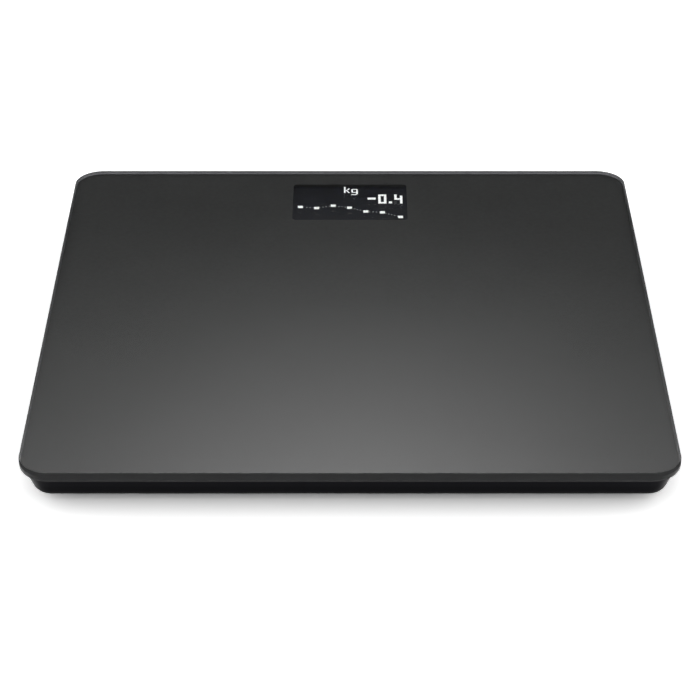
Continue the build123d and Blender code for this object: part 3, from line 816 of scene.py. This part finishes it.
def lathe(
    bm: BMesh, profile: Sequence[tuple[float, float]], centre: Point, steps: int,
    axis: str = "Z", slots: Sequence[int] = (),
) -> None:
    """Turns a profile round an axis into a closed solid.

    Args:
        bm: The mesh to add to.
        profile: Radius and height of each point, both ends off the axis.
        centre: Where height 0 lies on the axis.
        steps: Segments round.
        axis: "Z", or "Y" to lay the axis along Y.
        slots: Material number of each band, then of both lids; 0 if empty.
    """
    rings = []
    for radius, height in profile:
        ring = []
        for i in range(steps):
            turn = 2 * math.pi * i / steps
            a, b = radius * math.cos(turn), radius * math.sin(turn)
            offset = (a, b, height) if axis == "Z" else (a, height, b)
            ring.append(tuple(c + o for c, o in zip(centre, offset)))
        rings.append(ring)
    stack_rings(bm, rings, slots)


def block(bm: BMesh, low: Point, high: Point, bevel: float = 0.0) -> None:
    """Adds a box with broken edges.

    Args:
        bm: The mesh to add to.
        low: Its lowest corner, in metres.
        high: Its highest corner, in metres.
        bevel: Width of the broken edges, in metres; 0 leaves them sharp.
    """
    made = bmesh.ops.create_cube(bm, size=1.0)["verts"]
    bmesh.ops.scale(bm, vec=[h - l for l, h in zip(low, high)], verts=made)
    bmesh.ops.translate(bm, vec=[(h + l) / 2 for l, h in zip(low, high)], verts=made)
    if bevel:
        edges = {e for v in made for e in v.link_edges}
        bmesh.ops.bevel(bm, geom=list(edges), offset=bevel, segments=2, profile=0.5, affect="EDGES")


def small_block(name: str, size: Point, bevel: float = 0.0) -> Object:
    """Makes a box about the origin, as a template for copies.

    Args:
        name: The template's name.
        size: Its size, in metres.
        bevel: Width of its broken edges, in metres; 0 leaves them sharp.

    Returns:
        The template.
    """
    bm = bmesh.new()
    block(bm, tuple(-s / 2 for s in size), tuple(s / 2 for s in size), bevel)
    return finish_mesh(bm, name)


def settle(piece: Object, body: str, slot: str, *nodes: str) -> None:
    """Parents a piece to its body's empty and hides the CAD nodes that it stands for.

    Args:
        piece: The finished piece.
        body: The body's name.
        slot: Not used.
        nodes: The CAD nodes that it replaces.
    """
    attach(piece, body)
    if nodes:
        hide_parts(*nodes)
    LOG.info("%s rides on %s", piece.name, body)


def dress(piece: Object, *finishes: Finishes) -> None:
    """Puts finishes into a new piece's material slots.

    Args:
        piece: The piece.
        finishes: Its finishes, in the order of its slots.
    """
    for finish in finishes:
        piece.data.materials.append(finish.material)


def dress_nodes(finish: Finishes, *nodes: str) -> None:
    """Gives CAD nodes a finish in their own material slots.

    Args:
        finish: The finish.
        nodes: The nodes' names.
    """
    for node in nodes:
        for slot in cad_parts[node].material_slots:
            slot.material = finish.material
        LOG.info("%s dressed", node)


def refined(node: str, name: str, bevel: float, angle: float) -> Object:
    """Copies a CAD node as clean faces with its sharp edges broken.

    Args:
        node: The CAD node.
        name: The new piece's name.
        bevel: Width of the broken edges, in metres.
        angle: Edges sharper than this are broken, in degrees.

    Returns:
        The new piece.
    """
    bm = bmesh.new()
    bm.from_mesh(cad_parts[node].data)
    for layer in list(bm.loops.layers.float_vector):
        bm.loops.layers.float_vector.remove(layer)
    bmesh.ops.remove_doubles(bm, verts=bm.verts, dist=0.002 * MM)
    bmesh.ops.dissolve_limit(bm, angle_limit=math.radians(0.3), verts=bm.verts, edges=bm.edges)
    limit = math.radians(angle)
    sharp = [e for e in bm.edges if len(e.link_faces) == 2 and e.calc_face_angle(0.0) > limit]
    bmesh.ops.bevel(
        bm, geom=sharp, offset=bevel, segments=2, profile=0.5, affect="EDGES", clamp_overlap=True
    )
    bm.normal_update()
    piece = finish_mesh(bm, name)
    if "custom_normal" in piece.data.attributes:
        piece.data.attributes.remove(piece.data.attributes["custom_normal"])
    flatten = piece.modifiers.new("flat_faces_stay_flat", "WEIGHTED_NORMAL")
    flatten.mode, flatten.weight, flatten.keep_sharp = "FACE_AREA", 100, True
    return applied(piece, flatten)


# ------------------------------------------------------------------ repeats


def end_tree(g: Graph, points: Node, shape: NodeSocket, start: Node, end: Node, **inputs: Value) -> None:
    """Puts a shape on points, makes it real geometry, and gives it its finish.

    Args:
        g: The tree's graph.
        points: The node that gives the points.
        shape: The shape's socket.
        start: The tree's input node, with an output Finish.
        end: The tree's output node.
        inputs: Other inputs of the copies, by name.
    """
    named = {"Points": points.outputs[0], "Instance": shape, **inputs}
    copies = g.add("GeometryNodeInstanceOnPoints", named)
    real = g.add("GeometryNodeRealizeInstances", {"Geometry": copies.outputs[0]})
    dressed = {"Geometry": real.outputs[0], "Material": start.outputs["Finish"]}
    done = g.add("GeometryNodeSetMaterial", dressed)
    g.fill(end, {"Geometry": done.outputs[0]})


def scatter_tree() -> NodeTree:
    """Builds the Geometry Nodes tree that puts a copy of a template on each point.

    Returns:
        The tree, with inputs Template, Scale and Finish.
    """
    group, g, start, end = new_group(
        "copies_on_points",
        [
            ("Geometry", "NodeSocketGeometry", None),
            ("Template", "NodeSocketObject", None),
            ("Scale", "NodeSocketFloat", 1.0),
            ("Finish", "NodeSocketMaterial", None),
        ],
        [("Geometry", "NodeSocketGeometry")],
        "GeometryNodeTree",
    )
    points = g.add("GeometryNodeMeshToPoints", {"Mesh": start.outputs["Geometry"]})
    shape = g.add("GeometryNodeObjectInfo", {"Object": start.outputs["Template"]})
    end_tree(g, points, shape.outputs["Geometry"], start, end, Scale=start.outputs["Scale"])
    return group


def trace_tree() -> NodeTree:
    """Builds the Geometry Nodes tree that lays square dots along a line.

    Returns:
        The tree, with inputs Dot Size, Dot Height, Dot Pitch and Finish.
    """
    group, g, start, end = new_group(
        "dots_along_line",
        [
            ("Geometry", "NodeSocketGeometry", None),
            ("Dot Size", "NodeSocketFloat", 0.3 * MM),
            ("Dot Height", "NodeSocketFloat", 0.03 * MM),
            ("Dot Pitch", "NodeSocketFloat", 1.0 * MM),
            ("Finish", "NodeSocketMaterial", None),
        ],
        [("Geometry", "NodeSocketGeometry")],
        "GeometryNodeTree",
    )
    given = start.outputs
    line = g.add("GeometryNodeMeshToCurve", {"Mesh": given["Geometry"]}).outputs[0]
    dots = g.add(
        "GeometryNodeCurveToPoints", {"Curve": line, "Length": given["Dot Pitch"]}, mode="LENGTH"
    )
    size = g.add("ShaderNodeCombineXYZ", {0: given["Dot Size"], 1: given["Dot Size"], 2: given["Dot Height"]})
    tile = g.add("GeometryNodeMeshCube", {"Size": size.outputs[0]})
    end_tree(g, dots, tile.outputs[0], start, end)
    return group


class Repeats:
    """Runs the scale's Geometry Nodes trees and returns plain meshes."""

    _trees: dict[str, NodeTree] = {}

    @classmethod
    def run(
        cls, name: str, places: Sequence[Point], make_tree: Callable[[], NodeTree],
        inputs: dict, joined: bool = False,
    ) -> Object:
        """Makes one plain object from points and a tree.

        Args:
            name: The new object's name.
            places: The points that the tree starts from.
            make_tree: Function that builds the tree on its first use.
            inputs: Values by input name.
            joined: True to join the points by edges in order.

        Returns:
            An object with a plain mesh and no modifier.
        """
        key = make_tree.__name__
        if key not in cls._trees:
            cls._trees[key] = make_tree()
        tree = cls._trees[key]
        edges = [(i, i + 1) for i in range(len(places) - 1)] if joined else []
        seeds = bpy.data.meshes.new(name + "_points")
        seeds.from_pydata(places, edges, [])
        holder = bpy.data.objects.new(name, seeds)
        bpy.context.scene.collection.objects.link(holder)
        modifier = holder.modifiers.new("repeat", "NODES")
        modifier.node_group = tree
        for item in tree.interface.items_tree:
            if item.in_out == "INPUT" and item.name in inputs:
                modifier[item.identifier] = inputs[item.name]
        return applied(holder, modifier)

    @classmethod
    def copies(cls, name: str, places: Sequence[Point], template: Object, finish: Finishes) -> Object:
        """Puts a copy of a template on each point and removes the template.

        Args:
            name: The new object's name.
            places: The points.
            template: The shape to copy.
            finish: The copies' finish.

        Returns:
            The copies as one object with a plain mesh.
        """
        inputs = {"Template": template, "Scale": 1.0, "Finish": finish.material}
        made = cls.run(name, places, scatter_tree, inputs)
        bpy.data.objects.remove(template)
        return made


# ------------------------------------------------------------------ platform


@dataclass
class Platform:
    """The glass plate and the black print bonded under it. Sizes in metres."""

    corner: float = 16.0 * MM
    top_arris: float = 0.3 * MM
    low_arris: float = 1.2 * MM
    margin: float = 0.4 * MM
    overlap: float = 0.02 * MM
    corner_steps: int = 28
    arris_steps: int = 4

    def build(self) -> Object:
        """Builds the plate with round corners, ground edges and a polished arris.

        Returns:
            The glass piece.
        """
        low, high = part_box("glass_plate")
        width, length = high.x - low.x, high.y - low.y
        bottom = low.z - self.overlap
        turns = quarter_turn(self.arris_steps)
        levels = [(self.low_arris + self.margin, bottom)]
        for turn in turns:
            inset = self.low_arris * (1 - math.sin(turn))
            levels.append((inset, bottom + self.low_arris * (1 - math.cos(turn))))
        for turn in turns:
            inset = self.top_arris * (1 - math.cos(turn))
            levels.append((inset, high.z - self.top_arris * (1 - math.sin(turn))))
        levels.append((self.top_arris + self.margin, high.z))
        rings = []
        for inset, z in levels:
            size = (width - 2 * inset, length - 2 * inset)
            outline = rounded_outline(*size, self.corner - inset, self.corner_steps)
            rings.append([(x, y, z) for x, y in outline])
        faces, edge = 0, 1
        bands = [faces] + [edge] * (len(rings) - 3) + [faces] * 3
        bm = bmesh.new()
        stack_rings(bm, rings, bands)
        return finish_mesh(bm, "platform_glass", 40.0)

    def dress(self, plate: Object) -> None:
        """Gives the plate its glass and the print its black.

        Args:
            plate: The glass piece.
        """
        dress(plate, Finishes.PLATE, Finishes.PLATE_EDGE)
        settle(plate, "base", "platform_glass", "glass_plate")
        dress_nodes(Finishes.BACKING, "backing_film")
        dress_nodes(Finishes.TAPE, "bonding_tape")


# ------------------------------------------------------------------ display


class Glyph(Enum):
    """Display characters, drawn on a coarse grid: # is lit."""

    MINUS = ("##########",) * 5
    ZERO = ("##########",) * 4 + ("###....###",) * 16 + ("##########",) * 4
    POINT = ("####",) * 5
    FOUR = ("###.......",) * 3 + ("###....###",) * 7 + ("##########",) * 4 + (".......###",) * 10
    K = (
        "##......", "##......", "##......", "##......", "##...##.", "##...##.", "##..##..", "##..##..",
        "####....", "####....", "##.##...", "##.##...", "##..##..", "##..##..", "##...##.", "##...##.",
    )
    G = (
        ".######.", "########", "##....##", "##....##", "##....##", "##....##", "##....##", "##....##",
        "########", ".#######", "......##", "......##", "......##", "......##", "#######.", "######..",
    )


@dataclass
class Display:
    """The display panel behind its window, with lit dots.

    Sizes are in metres. The reading lists each glyph with the X of its left side and the Y of its
    upper side; the trend lists the X and Y of each square marker's middle, on a gentle fall.
    """

    pitch: float = 0.48 * MM
    dot: float = 0.44 * MM
    lift: float = 0.02 * MM
    marker: int = 6
    dot_every: int = 4
    reading: tuple[tuple[Glyph, float, float], ...] = (
        (Glyph.K, -3.6 * MM, 148.9 * MM),
        (Glyph.G, 0.8 * MM, 146.2 * MM),
        (Glyph.MINUS, 10.4 * MM, 135.1 * MM),
        (Glyph.ZERO, 16.7 * MM, 139.2 * MM),
        (Glyph.POINT, 22.9 * MM, 130.3 * MM),
        (Glyph.FOUR, 26.2 * MM, 139.2 * MM),
    )
    trend: tuple[tuple[float, float], ...] = (
        (-29.2 * MM, 123.3 * MM),
        (-19.6 * MM, 121.9 * MM),
        (-9.9 * MM, 124.9 * MM),
        (-0.3 * MM, 122.3 * MM),
        (9.3 * MM, 117.6 * MM),
        (19.0 * MM, 116.5 * MM),
        (29.5 * MM, 110.8 * MM),
    )

    def lit(self, rows: Sequence[str], left: float, top: float, z: float) -> list[Point]:
        """Lists the lit dots of a pattern.

        Args:
            rows: The pattern's rows, from the top; # is lit.
            left: X of its left side.
            top: Y of its upper side.
            z: Height of the dots' middles.

        Returns:
            The middle of each lit dot.
        """
        return [
            (left + (column + 0.5) * self.pitch, top - (row + 0.5) * self.pitch, z)
            for row, line in enumerate(rows)
            for column, mark in enumerate(line)
            if mark == "#"
        ]

    def build(self) -> list[Object]:
        """Builds the reading, the trend's markers and the dotted line between them.

        Returns:
            The lit pieces.
        """
        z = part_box("display_panel")[1].z + self.lift
        points = []
        for glyph, left, top in self.reading:
            points += self.lit(glyph.value, left, top, z)
        half = self.marker * self.pitch / 2
        for x, y in self.trend:
            points += self.lit(("#" * self.marker,) * self.marker, x - half, y + half, z)
        template = small_block("dot_template", (self.dot, self.dot, self.lift))
        lit = Repeats.copies("display_reading", points, template, Finishes.BRIGHT_DOT)
        line = [(x, y, z) for x, y in self.trend]
        dotted = Repeats.run("display_trend", line, trace_tree, {
            "Dot Size": self.dot,
            "Dot Height": self.lift,
            "Dot Pitch": self.pitch * self.dot_every,
            "Finish": Finishes.DIM_DOT.material,
        }, joined=True)
        return [lit, dotted]

    def dress(self, pieces: list[Object]) -> None:
        """Settles the lit pieces and dresses the display's own nodes.

        Args:
            pieces: The lit pieces, which have their finish.
        """
        for piece in pieces:
            settle(piece, "base", "display_glass")
        dress_nodes(Finishes.PANEL, "display_panel")
        dress_nodes(Finishes.TAPE, "display_gasket")
        dress_nodes(Finishes.INNER, "display_bracket")
        dress_nodes(Finishes.FLEX, "display_flex")


# ------------------------------------------------------------------ electronics


@dataclass
class Electronics:
    """The board and what stands on it. Sizes in metres, and rim as a share of the head's height."""

    head_radius: float = 2.6 * MM
    head_height: float = 1.5 * MM
    rim: float = 0.25
    dome_steps: int = 7
    shank_radius: float = 1.3 * MM
    threads: int = 9
    recess: float = 0.8 * MM
    recess_bevel: float = 0.02 * MM
    steps: int = 24

    def head(self) -> list[tuple[float, float]]:
        """Gives the screw head's profile, from its underside to its domed top.

        Returns:
            Radius and height of each point.
        """
        profile = [(self.head_radius * 0.97, 0.0), (self.head_radius, self.rim * self.head_height)]
        for turn in quarter_turn(self.dome_steps)[1:-1]:
            rise = self.rim + (1 - self.rim) * math.sin(turn)
            profile.append((self.head_radius * math.cos(turn), self.head_height * rise))
        return profile

    def shank(self, depth: float) -> list[tuple[float, float]]:
        """Gives the threaded shank's profile, from its tip to the head.

        Args:
            depth: The shank's length, in metres.

        Returns:
            Radius and height of each point.
        """
        core = self.shank_radius * 0.8
        profile = [(self.shank_radius * 0.35, -depth), (self.shank_radius * 0.85, -depth * 0.88)]
        for i in range(self.threads):
            z = -depth * 0.85 + i * depth * 0.8 / self.threads
            profile += [(core, z), (self.shank_radius, z + depth * 0.4 / self.threads)]
        return profile + [(core, 0.0)]

    def screw_template(self) -> Object:
        """Makes one pan-head screw with a cross recess, its head's underside at the origin.

        Returns:
            The template object.
        """
        low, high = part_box("board_screws")
        depth = high.z - self.head_height - low.z
        bm = bmesh.new()
        lathe(bm, self.head(), (0, 0, 0), self.steps)
        lathe(bm, self.shank(depth), (0, 0, 0), self.steps)
        template = finish_mesh(bm, "screw_template", 40.0)
        bm = bmesh.new()
        arm, half = self.head_radius * 0.62, self.head_radius * 0.14
        floor, top = self.head_height - self.recess, self.head_height * 1.2
        block(bm, (-arm, -half, floor), (arm, half, top), self.recess_bevel)
        block(bm, (-half, -arm, floor), (half, arm, top), self.recess_bevel)
        cutter = finish_mesh(bm, "screw_cutter")
        cut = template.modifiers.new("recess", "BOOLEAN")
        cut.object, cut.operation, cut.solver, cut.use_self = cutter, "DIFFERENCE", "EXACT", True
        applied(template, cut)
        bpy.data.objects.remove(cutter)
        return template

    def build(self) -> Object:
        """Puts a screw in each of the board's four places.

        Returns:
            The screws as one piece.
        """
        low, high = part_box("board_screws")
        r, seat = self.head_radius, high.z - self.head_height
        places = [(x, y, seat) for x in (low.x + r, high.x - r) for y in (low.y + r, high.y - r)]
        return Repeats.copies("board_screw_set", places, self.screw_template(), Finishes.SCREW)

    def dress(self, screws: Object) -> None:
        """Settles the screws and dresses the board's own nodes.

        Args:
            screws: The screws, which have their finish.
        """
        settle(screws, "base", "screw_steel", "board_screws")
        dress_nodes(Finishes.LAMINATE, "main_board")
        dress_nodes(Finishes.TIN, "wifi_module")
        dress_nodes(Finishes.RESIN, "controller_chip", "converter_chip", "switch_body")
        dress_nodes(Finishes.NYLON, "harness_sockets", "flex_socket", "switch_plunger")
        dress_nodes(Finishes.LEAD, "battery_lead")


# ------------------------------------------------------------------ corners


@dataclass
class Foot:
    """One corner's rubber pad, cap and load cell.

    Sizes are in metres. The tread's rings are shares of the pad's radius: the inner side of the
    first one, the step from ring to ring, and their width.
    """

    corner: str
    lip: float = 0.7 * MM
    groove: float = 0.5 * MM
    flank: float = 0.2 * MM
    soft_edge: float = 0.12 * MM
    soft_rise: float = 0.08 * MM
    rings: int = 5
    ring_start: float = 0.12
    ring_step: float = 0.15
    ring_width: float = 0.09
    lip_steps: int = 5
    cap_bevel: float = 0.25 * MM
    steps: int = 96

    def tread(self, radius: float, height: float) -> list[tuple[float, float]]:
        """Gives the ringed pad's profile, from the middle of its tread to its upper rim.

        Args:
            radius: The pad's radius, in metres.
            height: Its height, in metres.

        Returns:
            Radius and height of each point.
        """
        profile = [(0.05 * MM, self.groove)]
        for ring in range(self.rings):
            inner = radius * (self.ring_start + self.ring_step * ring)
            outer = inner + radius * self.ring_width
            profile += [
                (inner - self.flank, self.groove),
                (inner, self.soft_rise),
                (inner + self.soft_edge, 0.0),
                (outer - self.soft_edge, 0.0),
                (outer, self.soft_rise),
                (outer + self.flank, self.groove),
            ]
        edge = radius - self.lip
        profile += [(edge - 1.4 * MM, self.groove), (edge - 1.2 * MM, 0.0), (edge, 0.0)]
        for turn in quarter_turn(self.lip_steps)[1:]:
            profile.append((edge + self.lip * math.sin(turn), self.lip * (1 - math.cos(turn))))
        return profile + [(radius, height - 0.15 * MM), (radius - 0.15 * MM, height)]

    def build(self) -> tuple[Object, Object]:
        """Builds the ringed rubber pad and the cap with its edges broken.

        Returns:
            The pad and the cap.
        """
        low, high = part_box(f"foot_pad_{self.corner}")
        middle = ((low.x + high.x) / 2, (low.y + high.y) / 2, low.z)
        bm = bmesh.new()
        lathe(bm, self.tread((high.x - low.x) / 2, high.z - low.z), middle, self.steps)
        pad = finish_mesh(bm, f"foot_tread_{self.corner}", 50.0)
        cap = refined(f"foot_cap_{self.corner}", f"foot_seat_{self.corner}", self.cap_bevel, 40.0)
        return pad, cap

    def dress(self, pad: Object, cap: Object) -> None:
        """Settles the pad and cap and dresses the corner's other nodes.

        Args:
            pad: The rubber pad.
            cap: The cap over it.
        """
        dress(pad, Finishes.RUBBER)
        settle(pad, "base", "foot_rubber", f"foot_pad_{self.corner}")
        dress(cap, Finishes.CAP)
        settle(cap, "base", "foot_plastic", f"foot_cap_{self.corner}")
        dress_nodes(Finishes.CELL, f"load_cell_{self.corner}")
        dress_nodes(Finishes.GAUGE, f"strain_gauge_{self.corner}")
        dress_nodes(Finishes.INNER, f"cell_carrier_{self.corner}")
        dress_nodes(Finishes.LEAD, f"cell_harness_{self.corner}")


# ------------------------------------------------------------------ underside


@dataclass
class Battery:
    """One AAA cell with a plain two-tone sleeve. Sizes in metres, and band as a share of its length."""

    number: int
    nub_radius: float = 1.9 * MM
    nub_length: float = 0.9 * MM
    band: float = 0.28
    steps: int = 48

    def build(self) -> Object:
        """Turns the cell, its plus end at the rear for odd numbers.

        Returns:
            The cell.
        """
        low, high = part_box(f"battery_{self.number}")
        x, z = (low.x + high.x) / 2, (low.z + high.z) / 2
        radius, length = (high.z - low.z) / 2, high.y - low.y
        to_rear = self.number % 2 == 1
        start, sign = (low.y, 1) if to_rear else (high.y, -1)
        shoulder, nub = length - self.nub_length, self.nub_radius
        minus_end = [
            (0.1 * MM, 0.15 * MM), (2.4 * MM, 0.15 * MM), (2.6 * MM, 0.0), (radius - 0.6 * MM, 0.0),
        ]
        sleeve = [
            (radius - 0.15 * MM, 0.25 * MM), (radius, 0.6 * MM), (radius, shoulder * (1 - self.band)),
            (radius, shoulder - 0.5 * MM), (radius - 0.3 * MM, shoulder - 0.1 * MM),
        ]
        plus_end = [
            (radius - 0.9 * MM, shoulder), (nub + 0.3 * MM, shoulder), (nub, shoulder + 0.3 * MM),
            (nub, length - 0.2 * MM), (nub - 0.3 * MM, length), (0.1 * MM, length),
        ]
        profile = [(r, sign * h) for r, h in minus_end + sleeve + plus_end]
        dark, copper, steel = range(3)
        slots = [steel] * 4 + [dark] * 2 + [copper] * 3 + [steel] * 7
        bm = bmesh.new()
        lathe(bm, profile, (x, start, z), self.steps, "Y", slots)
        return finish_mesh(bm, f"dry_cell_{self.number}", 40.0)

    def dress(self, cell: Object) -> None:
        """Gives the cell its sleeve and steel ends.

        Args:
            cell: The cell.
        """
        dress(cell, Finishes.SLEEVE, Finishes.SLEEVE_BAND, Finishes.SPRING)
        settle(cell, "base", "battery_sleeve", f"battery_{self.number}")


@dataclass
class Underside:
    """The tray, battery door, pairing button and contacts. Sizes in metres."""

    door_bevel: float = 0.25 * MM
    button_radius: float = 4.4 * MM
    button_dish: float = 0.35 * MM
    button_bar: float = 0.8 * MM
    button_steps: int = 64
    rib_count: int = 6
    rib_pitch: float = 2.2 * MM
    rib_start: float = 13.0 * MM
    rib_size: Point = (14.0 * MM, 0.9 * MM, 0.5 * MM)
    rib_bevel: float = 0.2 * MM

    def build_button(self) -> Object:
        """Builds the round button with a finger dish, on its retaining bar.

        Returns:
            The button.
        """
        low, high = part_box("pairing_button")
        x, y = (low.x + high.x) / 2, (low.y + high.y) / 2
        r, d = self.button_radius, self.button_dish
        dish = [(0.05 * MM, d), (r * 0.3, d * 0.92), (r * 0.6, d * 0.62), (r * 0.8, d * 0.2)]
        rim = [(r * 0.88, 0.02 * MM), (r * 0.92, 0.0), (r * 0.97, 0.06 * MM), (r, 0.25 * MM)]
        bm = bmesh.new()
        lathe(bm, dish + rim + [(r, high.z - low.z)], (x, y, low.z), self.button_steps)
        bar_low = (low.x, y - r / 2, high.z - self.button_bar)
        block(bm, bar_low, (high.x, y + r / 2, high.z), 0.1 * MM)
        return finish_mesh(bm, "button_key", 40.0)

    def build_grip(self) -> Object:
        """Puts low finger ribs on the door's latch, as copies of one rib.

        Returns:
            The ribs as one piece.
        """
        low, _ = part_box("battery_door")
        first = low.y + self.rib_start
        places = [(0.0, first + i * self.rib_pitch, low.z) for i in range(self.rib_count)]
        template = small_block("rib_template", self.rib_size, self.rib_bevel)
        grip = Repeats.copies("door_grip_ribs", places, template, Finishes.TRAY)
        grip.data.polygons.foreach_set("use_smooth", [True] * len(grip.data.polygons))
        return grip

    def build(self) -> None:
        """Builds, dresses and settles every piece of the underside."""
        dress_nodes(Finishes.TRAY, "base_tray")
        door = refined("battery_door", "door_panel", self.door_bevel, 50.0)
        dress(door, Finishes.TRAY)
        settle(door, "door", "tray_plastic", "battery_door")
        settle(self.build_grip(), "door", "tray_plastic")
        button = self.build_button()
        dress(button, Finishes.BUTTON)
        settle(button, "button", "button_plastic", "pairing_button")
        dress_nodes(
            Finishes.SPRING, "contact_bridge_left", "contact_bridge_right", "contact_bridge_middle",
            "contact_positive", "contact_negative",
        )


# ------------------------------------------------------------------ studio


@dataclass
class Studio:
    """Floor, soft light from all round, and the camera.

    Sizes are in metres. Light is given by the rise of its direction: 0 at the horizon, 1 overhead.
    Dull surfaces see an even sky. Glossy ones see a bright horizon that falls to a dark level, and
    a tall soft box on each side that grows brighter from its foot upwards.
    """

    floor_size: float = 12.0
    floor_seen: float = 1.7
    floor_felt: float = 0.85
    camera_place: Point = (0.0, -1.17074, 0.69611)
    camera_pitch: float = 59.095
    lens: float = 127.53
    sensor: float = 36.0
    clip_end: float = 100.0
    low_light: float = 1.8
    high_light: float = 0.6
    dark_level: float = 0.038
    dark_rise: Span = (0.02, 0.42)
    box_foot: float = 0.455
    box_curve: float = 1.84
    box_gain: float = 125.0
    box_peak: float = 2.2
    box_width: float = 0.0110
    box_spill: float = 0.3
    overhead_rise: Span = (0.7, 1.0)
    overhead_share: float = 0.35

    def build(self) -> None:
        """Sets up the world, the floor and the camera."""
        self._world()
        self._floor()
        self._camera()

    def _gloss(self, g: Graph, x: Value, y: Value, z: Value) -> NodeSocket:
        """Builds the light that glossy surfaces see.

        Args:
            g: The world's graph.
            x: The direction's X.
            y: The direction's Y.
            z: The direction's rise.

        Returns:
            The light's socket.
        """
        horizon = g.range(z, *self.dark_rise, 1.0, self.dark_level, interpolation_type="SMOOTHSTEP")
        nearest = g.math("MINIMUM", g.times(x, x), g.times(y, y))
        beam = g.math("POWER", math.e, g.math("DIVIDE", nearest, -self.box_width))
        beam = g.range(beam, 0.0, 1.0, self.box_spill, 1.0)
        climb = g.math("MAXIMUM", g.math("SUBTRACT", z, self.box_foot), 0.0)
        climb = g.times(g.math("POWER", climb, self.box_curve), self.box_gain)
        climb = g.math("MINIMUM", climb, self.box_peak)
        overhead = g.range(z, *self.overhead_rise, 1.0, self.overhead_share)
        return g.math("ADD", horizon, g.times(climb, overhead, beam))

    def _world(self) -> None:
        """Lights the object, and shows plain white behind it."""
        world = bpy.data.worlds.new("studio")
        bpy.context.scene.world = world
        world.use_nodes = True
        world.node_tree.nodes.clear()
        g = Graph(world.node_tree)
        direction = g.add("ShaderNodeTexCoord").outputs["Generated"]
        x, y, z = g.add("ShaderNodeSeparateXYZ", {0: direction}).outputs
        path = g.add("ShaderNodeLightPath").outputs
        shiny = g.math("MAXIMUM", path["Is Glossy Ray"], path["Is Transmission Ray"])
        shiny = g.times(shiny, g.math("LESS_THAN", path["Diffuse Depth"], 0.5))
        soft = g.range(z, 0.0, 1.0, self.low_light, self.high_light)
        level = g.mix(shiny, soft, self._gloss(g, x, y, z))
        level = g.mix(path["Is Camera Ray"], level, 1.0)
        sky = g.add("ShaderNodeBackground", {"Color": (1, 1, 1, 1), "Strength": level})
        g.add("ShaderNodeOutputWorld", {"Surface": sky.outputs[0]})

    def _floor(self) -> None:
        """Lays a pale floor that keeps the object's shadow and stays white elsewhere."""
        bm = bmesh.new()
        bmesh.ops.create_grid(bm, x_segments=1, y_segments=1, size=self.floor_size / 2)
        floor = finish_mesh(bm, "floor")
        material = bpy.data.materials.new("pale_floor")
        material.use_nodes = True
        material.node_tree.nodes.clear()
        g = Graph(material.node_tree)
        to_camera = g.add("ShaderNodeLightPath").outputs["Is Camera Ray"]
        seen = g.add("ShaderNodeBsdfDiffuse", {"Color": rgba((self.floor_seen,) * 3)})
        felt = g.add("ShaderNodeBsdfDiffuse", {"Color": rgba((self.floor_felt,) * 3)})
        mix = g.add("ShaderNodeMixShader", {0: to_camera, 1: felt.outputs[0], 2: seen.outputs[0]})
        g.add("ShaderNodeOutputMaterial", {"Surface": mix.outputs[0]})
        floor.data.materials.append(material)

    def _camera(self) -> None:
        """Places the camera in front of the scale, looking down at the platform."""
        data = bpy.data.cameras.new("camera")
        data.lens, data.sensor_width, data.sensor_fit = self.lens, self.sensor, "HORIZONTAL"
        data.clip_end = self.clip_end
        camera = bpy.data.objects.new("camera", data)
        camera.location = self.camera_place
        camera.rotation_euler = (math.radians(self.camera_pitch), 0.0, 0.0)
        bpy.context.scene.collection.objects.link(camera)
        bpy.context.scene.camera = camera


def main() -> None:
    """Builds the studio, then each sub-assembly in order."""
    logging.basicConfig(level=logging.INFO, format="%(message)s")
    bpy.context.scene.view_settings.view_transform = "Standard"
    Studio().build()
    platform = Platform()
    platform.dress(platform.build())
    display = Display()
    display.dress(display.build())
    electronics = Electronics()
    electronics.dress(electronics.build())
    for corner in CORNERS:
        foot = Foot(corner)
        foot.dress(*foot.build())
    for number in range(1, 5):
        cell = Battery(number)
        cell.dress(cell.build())
    Underside().build()


if __name__ == "__main__":
    main()
